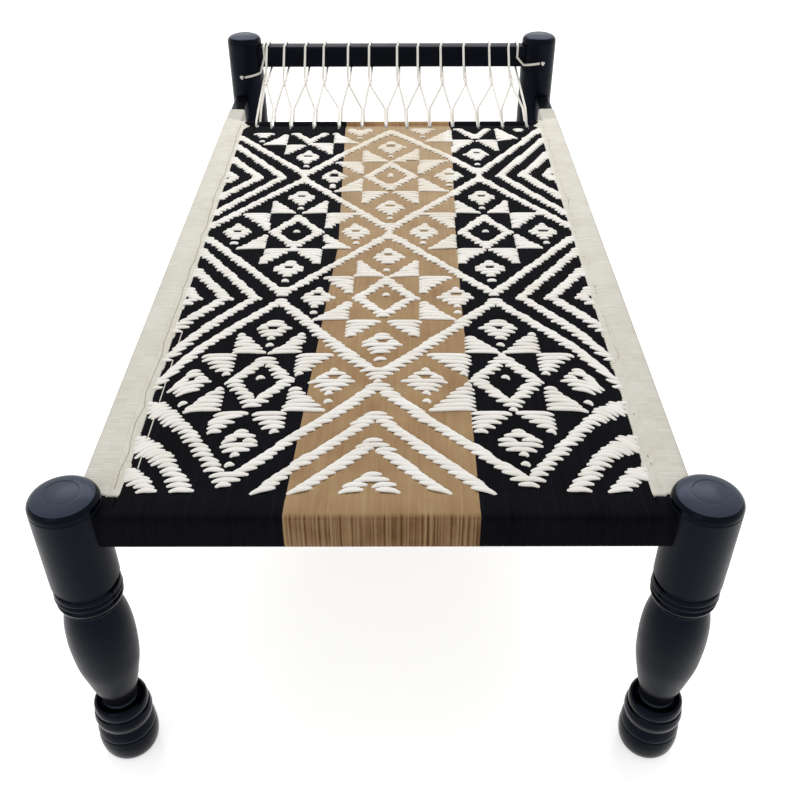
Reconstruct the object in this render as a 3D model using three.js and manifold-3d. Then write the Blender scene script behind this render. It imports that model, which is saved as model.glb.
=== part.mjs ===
// A rope bed: four turned legs, four rails tenoned into them, a bed of cotton warp and weft,
// a rod that the warp ends on, and one cord that laces the rod to the raised head rail.
// Millimetres, +Z up. The foot end is at -Y and the head end at +Y. The origin is on the floor
// at the middle of the bed.

import * as THREE from 'three';
import * as BufferGeometryUtils from 'three/addons/utils/BufferGeometryUtils.js';
import Module from 'manifold-3d';

const wasm = await Module();
wasm.setup();

// Plan of the frame, between the axes of the legs
const legSpacingX = 816;
const legSpacingY = 1745;

// Turned legs: the heights of the turned lengths, from the floor up
const postRadius = 46;
const baseHeight = 118;
const vaseHeight = 213;
const collarHeight = 47;
const footPostHeight = 131;
const headPostHeight = 261;
const capHeight = 18;

// Side rails and foot rail, set down from the tops of the foot posts
const railDrop = 9.5;
const railWidth = 38;
const railDepth = 48;
const railRounding = 5;
const sideRailInsetAtFoot = 28.5;
const sideRailOutsetAtHead = 15.5;
const sideShoulderGap = 1;

// Head rail, raised above the bed and set down from the tops of the head posts
const headRailDrop = 11;
const headRailWidth = 45;
const headRailDepth = 55;
const headRailRounding = 6;

// Tenons: the side rails' are high and the foot rail's low, so that they pass in the leg
const tenonThickness = 20;
const tenonDepth = 20;
const tenonMargin = 2;
const tenonReach = 10;
const sideTenonInsetAtFoot = 23;
const sideTenonOutsetAtHead = 12;
const headTenonDepth = 34;

// Warp and weft
const wrapThickness = 3.5;
const panelThickness = 8;
const weftStripWidth = 12.5;
const tanLeftAtFoot = -130;
const tanLeftAtRod = -119;
const tanRightAtFoot = 120;
const tanRightAtRod = 155;
const sideWrapEnd = 1502;
const endWrapEnd = 1585;
const endWrapThickness = 2;

// Tension rod, and how far its axis lies from the head legs' axes
const rodRadius = 6;
const rodSpacing = 270;
const rodLoopRadius = 15.5;
const rodOverhang = 4;

// Lacing cord
const laceRadius = 3;
const laceSpacing = 6.8;
const laceGap = 0.5;
const laceSlotGap = 1;
const twistLength = 30;
const knotRadius = 5.5;

// Its loose ends: how far below the head rail each meets its post, and how far it falls from there
// to its knot. The right one meets the post above the rail's lower edge and rises.
const leftTailDrop = 12;
const leftTailFall = 7;
const rightTailDrop = -7;
const rightTailFall = -10;

// Fits, and the overrun of a cutting solid past the face that it cuts
const fitGap = 0.3;
const overrun = 5;

// Where the lacing crosses the head rail, as shares of the half width between the posts
const railPlaceShares = [
  -0.942, -0.809, -0.649, -0.508, -0.323, -0.163, 0.05, 0.207, 0.381, 0.555, 0.751, 0.898,
];
const firstRailShare = -0.975;
const lastRailShare = 0.96;

// Where it turns round the rod, as shares of the half width of the warp there
const rodPlaceShares = [
  -0.92, -0.817, -0.689, -0.529, -0.356, -0.199, -0.037, 0.102, 0.257, 0.419, 0.592, 0.76, 0.925,
];

// How far from the rod to the head rail its cords part and cross, as shares of the way
const partShare = 0.25;
const crossShare = 0.6;

// How its drift along X is divided over a turn round the head rail's corners, and how far apart
// along the cord two points are before they count as neighbours, as a share of its radius
const cornerShare = 1 / 3;
const apartShare = 6;

// Where a loose end meets the post, as an angle from the line between the head legs
const tailAngle = THREE.MathUtils.degToRad(33);

// Stretches of a leg's turning. Each list is one smooth stretch, with a cut corner between two.
// A point is a share of the post's radius and a share of the turned length's height.
const baseShares = [
  [[0.674, 0], [0.83, 0.06], [0.935, 0.16], [0.98, 0.3], [0.96, 0.42]],
  [[0.935, 0.44], [0.955, 0.47], [0.93, 0.54], [0.87, 0.6]],
  [[0.9, 0.63], [0.945, 0.73], [0.91, 0.82]],
  [[0.87, 0.835], [0.88, 0.9], [0.84, 0.97], [0.76, 1]],
  [[0.68, 0.965], [0.6, 0.93], [0.555, 0.97]],
];
const vaseShares = [
  [[0.555, 0.03], [0.6, 0.09], [0.7, 0.155], [0.84, 0.29], [0.965, 0.43], [1.03, 0.6], [1.03, 0.72],
    [0.985, 0.83], [0.9, 0.92], [0.815, 0.985]],
];
const collarShares = [
  [[0.87, 0], [0.925, 0.14], [0.985, 0.33]],
  [[0.945, 0.36], [0.945, 0.4]],
  [[0.985, 0.45], [1.015, 0.57], [0.96, 0.79]],
  [[0.93, 0.82], [0.93, 0.94]],
];
const capShares = [
  [[1, 0], [0.985, 0.28], [0.92, 0.56], [0.8, 0.79], [0.63, 0.93], [0.457, 1]],
];

// Counts of facets
const legSides = 20;
const cornerSteps = 3;
const rodSides = 16;
const laceSides = 6;
const rodTurnSteps = 8;
const laceCornerSteps = 3;
const twistSteps = 6;
const tailSteps = 5;

// Values that follow from the sizes above
const legX = legSpacingX / 2;
const footY = -legSpacingY / 2;
const headY = legSpacingY / 2;
const turnedHeight = baseHeight + vaseHeight + collarHeight;
const railTop = turnedHeight + footPostHeight - railDrop;
const headRailTop = turnedHeight + headPostHeight - headRailDrop;
const railMiddle = railTop - railDepth / 2;
const headRailMiddle = headRailTop - headRailDepth / 2;
const bedTop = railTop + wrapThickness;
const footWrapHalf = railWidth / 2 + wrapThickness;
const sideRailStart = footY + footWrapHalf + sideShoulderGap;
const rodY = headY - rodSpacing;
const rodZ = bedTop - rodLoopRadius;
const laceTurnRadius = rodRadius + laceGap + laceRadius;
const slotRadius = laceTurnRadius + laceRadius + laceGap;
const slotHalf = (laceSpacing / 2) + laceRadius + laceSlotGap;

const lacquer = { color: 0x1c1c22, roughness: 0.22, metalness: 0 };
const cream = { color: 0xd6d3c6, roughness: 0.9, metalness: 0 };
const black = { color: 0x14141c, roughness: 0.9, metalness: 0 };
const tan = { color: 0xb08f68, roughness: 0.9, metalness: 0 };
const white = { color: 0xebe6dc, roughness: 0.85, metalness: 0 };
const steel = { color: 0x8f9296, roughness: 0.4, metalness: 1 };

const part = new THREE.Group();

// A closed solid from a closed geometry, with shared corners merged and empty triangles dropped
function solidOf(geometry) {
  const bare = geometry.clone();
  bare.deleteAttribute('normal');
  bare.deleteAttribute('uv');
  const merged = BufferGeometryUtils.mergeVertices(bare);
  const corners = merged.index.array;
  const kept = [];
  for (let i = 0; i < corners.length; i += 3) {
    const [a, b, c] = corners.slice(i, i + 3);
    if (a !== b && b !== c && c !== a) {
      kept.push(a, b, c);
    }
  }
  const vertProperties = new Float32Array(merged.attributes.position.array);
  const triVerts = new Uint32Array(kept);
  return new wasm.Manifold(new wasm.Mesh({ numProp: 3, vertProperties, triVerts }));
}

// The geometry of a solid
function geometryOf(solid) {
  const mesh = solid.getMesh();
  const geometry = new THREE.BufferGeometry();
  geometry.setAttribute('position', new THREE.BufferAttribute(new Float32Array(mesh.vertProperties), 3));
  geometry.setIndex(Array.from(mesh.triVerts));
  geometry.computeVertexNormals();
  return geometry;
}

function addNode(name, geometry, finish) {
  const mesh = new THREE.Mesh(geometry, new THREE.MeshStandardMaterial(finish));
  mesh.name = name;
  part.add(mesh);
}

// A box between two corners
function boxSolid(low, high) {
  const box = new THREE.BoxGeometry(high[0] - low[0], high[1] - low[1], high[2] - low[2]);
  box.translate((low[0] + high[0]) / 2, (low[1] + high[1]) / 2, (low[2] + high[2]) / 2);
  return solidOf(box);
}

// A rectangle with rounded corners about a centre
function roundedRectangle(centreX, centreY, width, height, rounding) {
  const right = centreX + width / 2 - rounding;
  const left = centreX - width / 2 + rounding;
  const top = centreY + height / 2 - rounding;
  const bottom = centreY - height / 2 + rounding;
  const shape = new THREE.Shape();
  shape.absarc(right, top, rounding, 0, Math.PI / 2);
  shape.absarc(left, top, rounding, Math.PI / 2, Math.PI);
  shape.absarc(left, bottom, rounding, Math.PI, 1.5 * Math.PI);
  shape.absarc(right, bottom, rounding, 1.5 * Math.PI, 2 * Math.PI);
  return shape;
}

// A section in Y and Z drawn out along X, between two places that may change with Y
function alongX(section, leftAt, rightAt, steps) {
  const options = { depth: 1, bevelEnabled: false, curveSegments: steps };
  const geometry = new THREE.ExtrudeGeometry(section, options);
  const place = geometry.attributes.position;
  for (let i = 0; i < place.count; i += 1) {
    const y = place.getX(i);
    const z = place.getY(i);
    const x = THREE.MathUtils.lerp(leftAt(y), rightAt(y), place.getZ(i));
    place.setXYZ(i, x, y, z);
  }
  return solidOf(geometry);
}

// A section in X and Z drawn out along Y, moved sideways by an amount that may change with Y
function alongY(section, startY, endY, shiftAt, steps) {
  const options = { depth: endY - startY, bevelEnabled: false, curveSegments: steps };
  const geometry = new THREE.ExtrudeGeometry(section, options);
  geometry.rotateX(Math.PI / 2);
  geometry.translate(0, endY, 0);
  const place = geometry.attributes.position;
  for (let i = 0; i < place.count; i += 1) {
    place.setX(i, place.getX(i) + shiftAt(place.getY(i)));
  }
  return solidOf(geometry);
}

// A solid of revolution about a leg's axis
function turned(points, x, y) {
  const geometry = new THREE.LatheGeometry(points, legSides);
  geometry.rotateX(Math.PI / 2);
  geometry.translate(x, y, 0);
  return solidOf(geometry);
}

// The smooth stretches of one turned length, set at its height
function turning(stretches, bottom, height) {
  const points = [];
  for (const stretch of stretches) {
    const marks = stretch.map(([radiusShare, heightShare]) => (
      new THREE.Vector2(radiusShare * postRadius, bottom + heightShare * height)
    ));
    points.push(...new THREE.SplineCurve(marks).getPoints(marks.length - 1));
  }
  return points;
}

// A whole leg, round about its axis
function legBlank(x, y, postHeight) {
  const postTop = turnedHeight + postHeight;
  const profile = [
    new THREE.Vector2(0, 0),
    ...turning(baseShares, 0, baseHeight),
    ...turning(vaseShares, baseHeight, vaseHeight),
    ...turning(collarShares, baseHeight + vaseHeight, collarHeight),
    new THREE.Vector2(postRadius, turnedHeight),
    ...turning(capShares, postTop, capHeight),
    new THREE.Vector2(0, postTop + capHeight),
  ];
  return turned(profile, x, y);
}

// The room that a post takes, with its clearance, from the floor to above the leg
function postClearance(x, y, gap) {
  const top = turnedHeight + headPostHeight + capHeight;
  const radius = postRadius + gap;
  const profile = [
    new THREE.Vector2(0, 0),
    new THREE.Vector2(radius, 0),
    new THREE.Vector2(radius, top),
    new THREE.Vector2(0, top),
  ];
  return turned(profile, x, y);
}

// How far along a side rail a place lies, from 0 at the foot legs' axes to 1 at the head legs'
function alongShare(y) {
  return (y - footY) / legSpacingY;
}

// The middle of the right side rail: inside the leg's axis at the foot, outside it at the head
function sideRailX(y) {
  return legX + THREE.MathUtils.lerp(-sideRailInsetAtFoot, sideRailOutsetAtHead, alongShare(y));
}

// The outer edge of the warp on the right side
function warpEdge(y) {
  return sideRailX(y) - footWrapHalf - weftStripWidth;
}

// The edges of the tan band, straight from the foot rail to the rod
function tanLeft(y) {
  return THREE.MathUtils.lerp(tanLeftAtFoot, tanLeftAtRod, (y - footY) / (rodY - footY));
}

function tanRight(y) {
  return THREE.MathUtils.lerp(tanRightAtFoot, tanRightAtRod, (y - footY) / (rodY - footY));
}

// The box of a side rail's tenon at a leg, grown by a gap
function sideTenon(side, atHead, gap) {
  const offset = atHead ? sideTenonOutsetAtHead : -sideTenonInsetAtFoot;
  const middle = side * (legX + offset);
  const top = railTop - tenonMargin;
  const inward = atHead ? -1 : 1;
  const legY = atHead ? headY : footY;
  const ends = [legY - inward * (tenonReach + gap), legY + inward * (postRadius + overrun)];
  return boxSolid(
    [middle - tenonThickness / 2 - gap, Math.min(...ends), top - tenonDepth - gap],
    [middle + tenonThickness / 2 + gap, Math.max(...ends), top + gap],
  );
}

// The box of a cross rail's tenon at a leg, grown by a gap
function crossTenon(side, y, bottom, depth, gap) {
  const ends = [side * (legX + tenonReach + gap), side * (legX - postRadius - overrun)];
  return boxSolid(
    [Math.min(...ends), y - tenonThickness / 2 - gap, bottom - gap],
    [Math.max(...ends), y + tenonThickness / 2 + gap, bottom + depth + gap],
  );
}

function footTenon(side, gap) {
  return crossTenon(side, footY, railTop - railDepth + tenonMargin, tenonDepth, gap);
}

function headTenon(side, gap) {
  return crossTenon(side, headY, headRailMiddle - headTenonDepth / 2, headTenonDepth, gap);
}

// A leg with the mortises of the two rails that meet in it
function leg(side, atHead) {
  const y = atHead ? headY : footY;
  const blank = legBlank(side * legX, y, atHead ? headPostHeight : footPostHeight);
  const crossMortise = atHead ? headTenon(side, fitGap) : footTenon(side, fitGap);
  return blank.subtract(crossMortise).subtract(sideTenon(side, atHead, fitGap));
}

// A cross rail from leg to leg, its shoulders hollowed to the round posts
function crossRail(y, section, tenons) {
  let rail = alongX(section, () => -legX, () => legX, cornerSteps);
  for (const side of [-1, 1]) {
    rail = rail.subtract(postClearance(side * legX, y, fitGap));
  }
  for (const tenon of tenons) {
    rail = rail.add(tenon);
  }
  return rail;
}

// The section of the side rails and the foot rail, grown by a gap
function railSection(centre, gap) {
  return roundedRectangle(centre, railMiddle, railWidth + 2 * gap, railDepth + 2 * gap, railRounding + gap);
}

function headRailSection(centre) {
  return roundedRectangle(centre, headRailMiddle, headRailWidth, headRailDepth, headRailRounding);
}

// A side rail with its tenons
function sideRail(side) {
  const shift = (y) => side * sideRailX(y);
  return alongY(railSection(0, 0), sideRailStart, headY, shift, cornerSteps)
    .subtract(postClearance(side * legX, footY, fitGap))
    .subtract(postClearance(side * legX, headY, fitGap))
    .add(sideTenon(side, false, 0))
    .add(sideTenon(side, true, 0));
}

// The turns of cord round a side rail, between two places, drawn out straight
function railSleeve(side, startY, endY, thickness) {
  const shift = (y) => side * sideRailX(y);
  return alongY(railSection(0, thickness), startY, endY, shift, cornerSteps);
}

// The wood that a sleeve goes round, with its clearance
function railCore(side) {
  const shift = (y) => side * sideRailX(y);
  return alongY(railSection(0, fitGap), footY, headY, shift, cornerSteps);
}

// The weft at one side: its turns round the side rail and the plain strip beside the warp
function weftWrap(side) {
  const stripEnd = rodY - rodLoopRadius;
  const stripHalf = weftStripWidth / 2;
  const strip = new THREE.Shape();
  strip.moveTo(-stripHalf + fitGap, bedTop - panelThickness);
  strip.lineTo(stripHalf + wrapThickness / 2, bedTop - panelThickness);
  strip.lineTo(stripHalf + wrapThickness / 2, bedTop);
  strip.lineTo(-stripHalf + fitGap, bedTop);
  const mirrored = new THREE.Shape(strip.getPoints().map((point) => new THREE.Vector2(-point.x, point.y)));
  const section = side > 0 ? strip : mirrored;
  const shift = (y) => side * (warpEdge(y) + stripHalf);
  return railSleeve(side, sideRailStart, footY + sideWrapEnd, wrapThickness)
    .add(alongY(section, sideRailStart, stripEnd, shift, 1))
    .subtract(railCore(side))
    .subtract(postClearance(side * legX, footY, fitGap));
}

// The thin turns that bind the end of a side wrap
function endWrap(side) {
  return railSleeve(side, footY + sideWrapEnd + fitGap, footY + endWrapEnd, endWrapThickness)
    .subtract(railCore(side));
}

// The outline of a warp band seen from its side: round the foot rail, flat, and round the rod
function warpSection() {
  const rounding = railRounding + wrapThickness;
  const front = footY - footWrapHalf + rounding;
  const back = footY + footWrapHalf - rounding;
  const top = bedTop - rounding;
  const bottom = railTop - railDepth - wrapThickness + rounding;
  const under = Math.asin((rodLoopRadius - panelThickness) / rodLoopRadius);
  const section = new THREE.Shape();
  section.moveTo(footY + footWrapHalf, bedTop - panelThickness);
  section.absarc(back, bottom, rounding, 0, -Math.PI / 2, true);
  section.absarc(front, bottom, rounding, -Math.PI / 2, -Math.PI, true);
  section.absarc(front, top, rounding, Math.PI, Math.PI / 2, true);
  section.absarc(rodY, rodZ, rodLoopRadius, Math.PI / 2, -Math.PI - under, true);
  section.closePath();
  section.holes.push(railSection(footY, fitGap));
  const bore = new THREE.Path();
  bore.absarc(rodY, rodZ, rodRadius + fitGap, 0, 2 * Math.PI);
  section.holes.push(bore);
  return section;
}

// Where the lacing turns round the rod
function rodPlaces() {
  return rodPlaceShares.map((share) => share * warpEdge(rodY));
}

// A band of warp, with slots round the rod for the lacing under its top layer
function warpBand(leftAt, rightAt) {
  let band = alongX(warpSection(), leftAt, rightAt, 2 * cornerSteps);
  const far = rodY + rodLoopRadius + overrun;
  for (const x of rodPlaces()) {
    const inner = boxSolid(
      [x - slotHalf, rodY - slotRadius, rodZ - rodLoopRadius - overrun],
      [x + slotHalf, far, rodZ + slotRadius],
    );
    const mouth = boxSolid(
      [x - slotHalf, rodY - laceGap, rodZ],
      [x + slotHalf, far, bedTop + overrun],
    );
    band = band.subtract(inner).subtract(mouth);
  }
  return band;
}

// The turns of black cord on the foot rail between the warp's edge and a leg
function footRailWrap(side) {
  const inner = (y) => side * (warpEdge(y) + fitGap);
  const outer = () => side * legX;
  const section = railSection(footY, wrapThickness);
  section.holes.push(railSection(footY, fitGap));
  const [leftAt, rightAt] = side > 0 ? [inner, outer] : [outer, inner];
  return alongX(section, leftAt, rightAt, cornerSteps).subtract(postClearance(side * legX, footY, fitGap));
}

function tensionRod() {
  const length = 2 * (warpEdge(rodY) + rodOverhang);
  const rod = new THREE.CylinderGeometry(rodRadius, rodRadius, length, rodSides);
  rod.rotateZ(Math.PI / 2);
  rod.translate(0, rodY, rodZ);
  return solidOf(rod);
}

// A point of the lacing's plane: a share of the way from the rod's axis to the head rail's middle
function lacePoint(x, share) {
  const y = THREE.MathUtils.lerp(rodY, headY, share);
  const z = THREE.MathUtils.lerp(rodZ, headRailMiddle, share);
  return new THREE.Vector3(x, y, z);
}

// Where a straight cord from a point meets a circle in Y and Z, on the side given by turn
function tangentAngle(point, y, z, radius, turn) {
  const away = Math.hypot(point.y - y, point.z - z);
  return Math.atan2(point.z - z, point.y - y) + turn * Math.acos(radius / away);
}

// Points on an arc in Y and Z that drifts along X
function arc(y, z, radius, start, end, fromX, toX, steps) {
  const points = [];
  for (let i = 0; i <= steps; i += 1) {
    const angle = THREE.MathUtils.lerp(start, end, i / steps);
    const x = THREE.MathUtils.lerp(fromX, toX, i / steps);
    points.push(new THREE.Vector3(x, y + radius * Math.cos(angle), z + radius * Math.sin(angle)));
  }
  return points;
}

// The half turn round the rod, over it first, from the point where the cords part
function rodTurn(x) {
  const half = laceSpacing / 2;
  const from = lacePoint(x - half, partShare);
  const to = lacePoint(x + half, partShare);
  const over = tangentAngle(from, rodY, rodZ, laceTurnRadius, 1);
  const below = tangentAngle(to, rodY, rodZ, laceTurnRadius, -1) + 2 * Math.PI;
  return [from, ...arc(rodY, rodZ, laceTurnRadius, over, below, from.x, to.x, rodTurnSteps), to];
}

// Half a turn of two cords about each other, centred where they cross. The angle is 0 on the
// right. A rising cord starts on the left and ends on the right.
function crossing(x, rising) {
  const span = twistLength / Math.hypot(headY - rodY, headRailMiddle - rodZ);
  const rise = Math.atan2(headRailMiddle - rodZ, headY - rodY);
  const points = [];
  for (let i = 0; i <= twistSteps; i += 1) {
    const share = rising ? i / twistSteps : 1 - i / twistSteps;
    const angle = Math.PI * (share + (rising ? 1 : 0));
    const point = lacePoint(x + laceSpacing / 2 * Math.cos(angle), crossShare + span * (share - 1 / 2));
    const lift = laceSpacing / 2 * Math.sin(angle);
    point.y -= lift * Math.sin(rise);
    point.z += lift * Math.cos(rise);
    points.push(point);
  }
  return points;
}

// A turn round the head rail that rises behind it and comes down in front
function railTurn(from, to, downTheFront) {
  const radius = headRailRounding + laceGap + laceRadius;
  const front = headY - headRailWidth / 2 + headRailRounding;
  const back = headY + headRailWidth / 2 - headRailRounding;
  const top = headRailTop - headRailRounding;
  const bottom = headRailTop - headRailDepth + headRailRounding;
  const drift = (share) => THREE.MathUtils.lerp(from.x, to.x, share);
  const start = tangentAngle(from, back, bottom, radius, 1);
  const end = downTheFront ? Math.PI : tangentAngle(to, front, top, radius, -1);
  const first = THREE.MathUtils.euclideanModulo(start + Math.PI, 2 * Math.PI) - Math.PI;
  const last = THREE.MathUtils.euclideanModulo(end, 2 * Math.PI);
  const high = drift(cornerShare);
  const forward = drift(2 * cornerShare);
  return [
    ...arc(back, bottom, radius, first, 0, from.x, high, laceCornerSteps),
    ...arc(back, top, radius, 0, Math.PI / 2, high, forward, laceCornerSteps),
    ...arc(front, top, radius, Math.PI / 2, last, forward, to.x, laceCornerSteps),
  ];
}

// How high a loose end lies, from 0 where it meets the post to 1 at its knot
function tailHeight(side, share) {
  const drop = side > 0 ? rightTailDrop : leftTailDrop;
  const fall = side > 0 ? rightTailFall : leftTailFall;
  return headRailTop - headRailDepth - drop - fall * share;
}

// A loose end: down the front of the head rail, then round the front of the post to its knot
function tail(side, x) {
  const radius = postRadius + laceGap + laceRadius;
  const faceY = headY - headRailWidth / 2 - laceGap - laceRadius;
  const points = [new THREE.Vector3(x, faceY, headRailMiddle)];
  for (let i = 0; i <= tailSteps; i += 1) {
    const turn = THREE.MathUtils.lerp(tailAngle, Math.PI / 2, i / tailSteps);
    points.push(new THREE.Vector3(
      side * (legX - radius * Math.cos(turn)),
      headY - radius * Math.sin(turn),
      tailHeight(side, i / tailSteps),
    ));
  }
  return points;
}

// An end of the lacing, from its last turn round the head rail to its knot
function laceEnd(side, x) {
  const part = lacePoint(x, partShare);
  return [...railTurn(part, part, true), ...tail(side, x)];
}

// The whole route of the lacing cord, from the left knot to the right one
function laceRoute() {
  const span = legX - postRadius;
  const rods = rodPlaces();
  const route = laceEnd(-1, firstRailShare * span).reverse();
  route.push(...rodTurn(rods[0]));
  railPlaceShares.forEach((share, i) => {
    const rising = crossing(share * span, true);
    const falling = crossing(share * span, false);
    route.push(...rising, ...railTurn(rising[twistSteps], falling[0], false), ...falling);
    route.push(...rodTurn(rods[i + 1]));
  });
  route.push(...laceEnd(1, lastRailShare * span));
  return route;
}

// One unbroken tube of even thickness along a route, with flat ends
function tube(route, radius, sides) {
  const positions = [];
  const indices = [];
  const tangentAt = (i) => {
    const before = route[Math.max(i - 1, 0)];
    const after = route[Math.min(i + 1, route.length - 1)];
    return new THREE.Vector3().subVectors(after, before).normalize();
  };
  const normal = new THREE.Vector3(0, 0, 1).cross(tangentAt(0)).normalize();
  let last = tangentAt(0);
  route.forEach((point, i) => {
    const tangent = tangentAt(i);
    normal.applyQuaternion(new THREE.Quaternion().setFromUnitVectors(last, tangent));
    const side = new THREE.Vector3().crossVectors(tangent, normal);
    for (let k = 0; k < sides; k += 1) {
      const angle = 2 * Math.PI * k / sides;
      const corner = point.clone()
        .addScaledVector(normal, radius * Math.cos(angle))
        .addScaledVector(side, radius * Math.sin(angle));
      positions.push(corner.x, corner.y, corner.z);
    }
    last = tangent;
  });
  for (let i = 0; i < route.length - 1; i += 1) {
    for (let k = 0; k < sides; k += 1) {
      const a = i * sides + k;
      const b = i * sides + (k + 1) % sides;
      indices.push(a, b, a + sides, b, b + sides, a + sides);
    }
  }
  const end = (route.length - 1) * sides;
  for (let k = 1; k < sides - 1; k += 1) {
    indices.push(0, k + 1, k, end, end + k, end + k + 1);
  }
  const geometry = new THREE.BufferGeometry();
  geometry.setAttribute('position', new THREE.Float32BufferAttribute(positions, 3));
  geometry.setIndex(indices);
  geometry.computeVertexNormals();
  return geometry;
}

// The least gap of a cord to itself, measured between points a cord's radius apart or less
function leastGap(route, radius) {
  const points = [];
  let travelled = 0;
  for (let i = 1; i < route.length; i += 1) {
    const length = route[i].distanceTo(route[i - 1]);
    const steps = Math.max(1, Math.ceil(length / radius));
    for (let k = 0; k < steps; k += 1) {
      const point = route[i - 1].clone().lerp(route[i], k / steps);
      points.push({ point, at: travelled + length * k / steps });
    }
    travelled += length;
  }
  let least = Infinity;
  for (let i = 0; i < points.length; i += 1) {
    for (let k = i + 1; k < points.length; k += 1) {
      if (points[k].at - points[i].at > apartShare * radius) {
        least = Math.min(least, points[i].point.distanceTo(points[k].point));
      }
    }
  }
  return least - 2 * radius;
}

// The stopper knot beyond the end of a tail, against the post
function knot(side) {
  const away = postRadius + fitGap + knotRadius;
  const past = Math.PI / 2 + (knotRadius + laceRadius) / away;
  const ball = new THREE.IcosahedronGeometry(knotRadius, 1);
  ball.translate(
    side * (legX - away * Math.cos(past)),
    headY - away * Math.sin(past),
    tailHeight(side, 1),
  );
  return solidOf(ball);
}

for (const [side, word] of [[-1, 'left'], [1, 'right']]) {
  addNode(`leg_foot_${word}`, geometryOf(leg(side, false)), lacquer);
  addNode(`leg_head_${word}`, geometryOf(leg(side, true)), lacquer);
  addNode(`side_rail_${word}`, geometryOf(sideRail(side)), lacquer);
  addNode(`weft_wrap_${word}`, geometryOf(weftWrap(side)), cream);
  addNode(`end_wrap_${word}`, geometryOf(endWrap(side)), cream);
  addNode(`foot_rail_wrap_${word}`, geometryOf(footRailWrap(side)), black);
  addNode(`lacing_knot_${word}`, geometryOf(knot(side)), white);
}

const footTenons = [footTenon(-1, 0), footTenon(1, 0)];
const headTenons = [headTenon(-1, 0), headTenon(1, 0)];
addNode('foot_rail', geometryOf(crossRail(footY, railSection(footY, 0), footTenons)), lacquer);
addNode('head_rail', geometryOf(crossRail(headY, headRailSection(headY), headTenons)), lacquer);

const halfGap = fitGap / 2;
const leftBand = warpBand((y) => -warpEdge(y), (y) => tanLeft(y) - halfGap);
const middleBand = warpBand((y) => tanLeft(y) + halfGap, (y) => tanRight(y) - halfGap);
const rightBand = warpBand((y) => tanRight(y) + halfGap, warpEdge);
addNode('warp_band_left', geometryOf(leftBand), black);
addNode('warp_band_middle', geometryOf(middleBand), tan);
addNode('warp_band_right', geometryOf(rightBand), black);
addNode('tension_rod', geometryOf(tensionRod()), steel);

const route = laceRoute();
addNode('lacing_cord', tube(route, laceRadius, laceSides), white);
console.log(`lacing cord: least gap to itself ${leastGap(route, laceRadius).toFixed(2)} mm`);

export default part;
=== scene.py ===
"""A rope bed: black lacquered turned legs, cotton cords woven into a patterned bed, and a laced
rod.

Sizes are millimetres until a mesh is made, which is in metres. X runs to the right seen from the
foot end, Y from the foot end to the head end, Z up. "Down the bed" is measured from the axes of
the foot legs.
"""

import math

import bpy
import numpy as np
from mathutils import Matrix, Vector


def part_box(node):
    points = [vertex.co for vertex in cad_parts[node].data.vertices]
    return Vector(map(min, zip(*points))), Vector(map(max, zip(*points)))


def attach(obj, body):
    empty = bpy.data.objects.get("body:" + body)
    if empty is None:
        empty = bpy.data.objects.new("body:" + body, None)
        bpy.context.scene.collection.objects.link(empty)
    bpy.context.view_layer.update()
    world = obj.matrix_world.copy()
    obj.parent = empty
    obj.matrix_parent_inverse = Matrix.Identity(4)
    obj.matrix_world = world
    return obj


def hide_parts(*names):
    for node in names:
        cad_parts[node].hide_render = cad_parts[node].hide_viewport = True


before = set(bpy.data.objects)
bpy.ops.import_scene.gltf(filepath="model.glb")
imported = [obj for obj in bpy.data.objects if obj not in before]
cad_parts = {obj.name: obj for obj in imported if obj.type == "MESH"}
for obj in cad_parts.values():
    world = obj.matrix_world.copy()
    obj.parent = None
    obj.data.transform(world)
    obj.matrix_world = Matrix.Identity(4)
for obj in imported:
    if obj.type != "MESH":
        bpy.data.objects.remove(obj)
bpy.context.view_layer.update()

MM = 0.001

# The bed's sides, with the sign of X there, and the angle above which an edge stays sharp
SIDES = ((-1, "left"), (1, "right"))
SHARP_ANGLE = math.radians(35)


def node_box(node):
    low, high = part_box(node)
    return np.array(low) / MM, np.array(high) / MM


def middle(node):
    low, high = node_box(node)
    return (low + high) / 2


# Places that come from the frame
LEG_X, FOOT_Y = middle("leg_foot_right")[:2]
HEAD_Y = middle("leg_head_right")[1]
FOOT_LEG_TOP = node_box("leg_foot_right")[1][2]
HEAD_LEG_TOP = node_box("leg_head_right")[1][2]
RAIL_BOTTOM, RAIL_TOP = (node_box("foot_rail")[k][2] for k in (0, 1))
HEAD_RAIL_BOTTOM, HEAD_RAIL_TOP = (node_box("head_rail")[k][2] for k in (0, 1))
RAIL_MIDDLE = (RAIL_BOTTOM + RAIL_TOP) / 2
HEAD_RAIL_MIDDLE = (HEAD_RAIL_BOTTOM + HEAD_RAIL_TOP) / 2
ROD_Y, ROD_Z = middle("tension_rod")[1:]
ROD_END = node_box("tension_rod")[1][0]
ROD_RADIUS = (node_box("tension_rod")[1][2] - node_box("tension_rod")[0][2]) / 2
BED_LENGTH = HEAD_Y - FOOT_Y
ROD_DOWN = ROD_Y - FOOT_Y

# Frame
POST_RADIUS = 46
LEG_SIDES = 96
RAIL_WIDTH = 38
RAIL_ROUNDING = 5
HEAD_RAIL_WIDTH = 45
HEAD_RAIL_ROUNDING = 6
SIDE_RAIL_INSET_AT_FOOT = 28.5
SIDE_RAIL_OUTSET_AT_HEAD = 15.5
SIDE_RAIL_ENDS = (28, BED_LENGTH - 20)
CROSS_RAIL_END = LEG_X - 30
WRAP_THICKNESS = 3.5
WEFT_STRIP = 12.5

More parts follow.
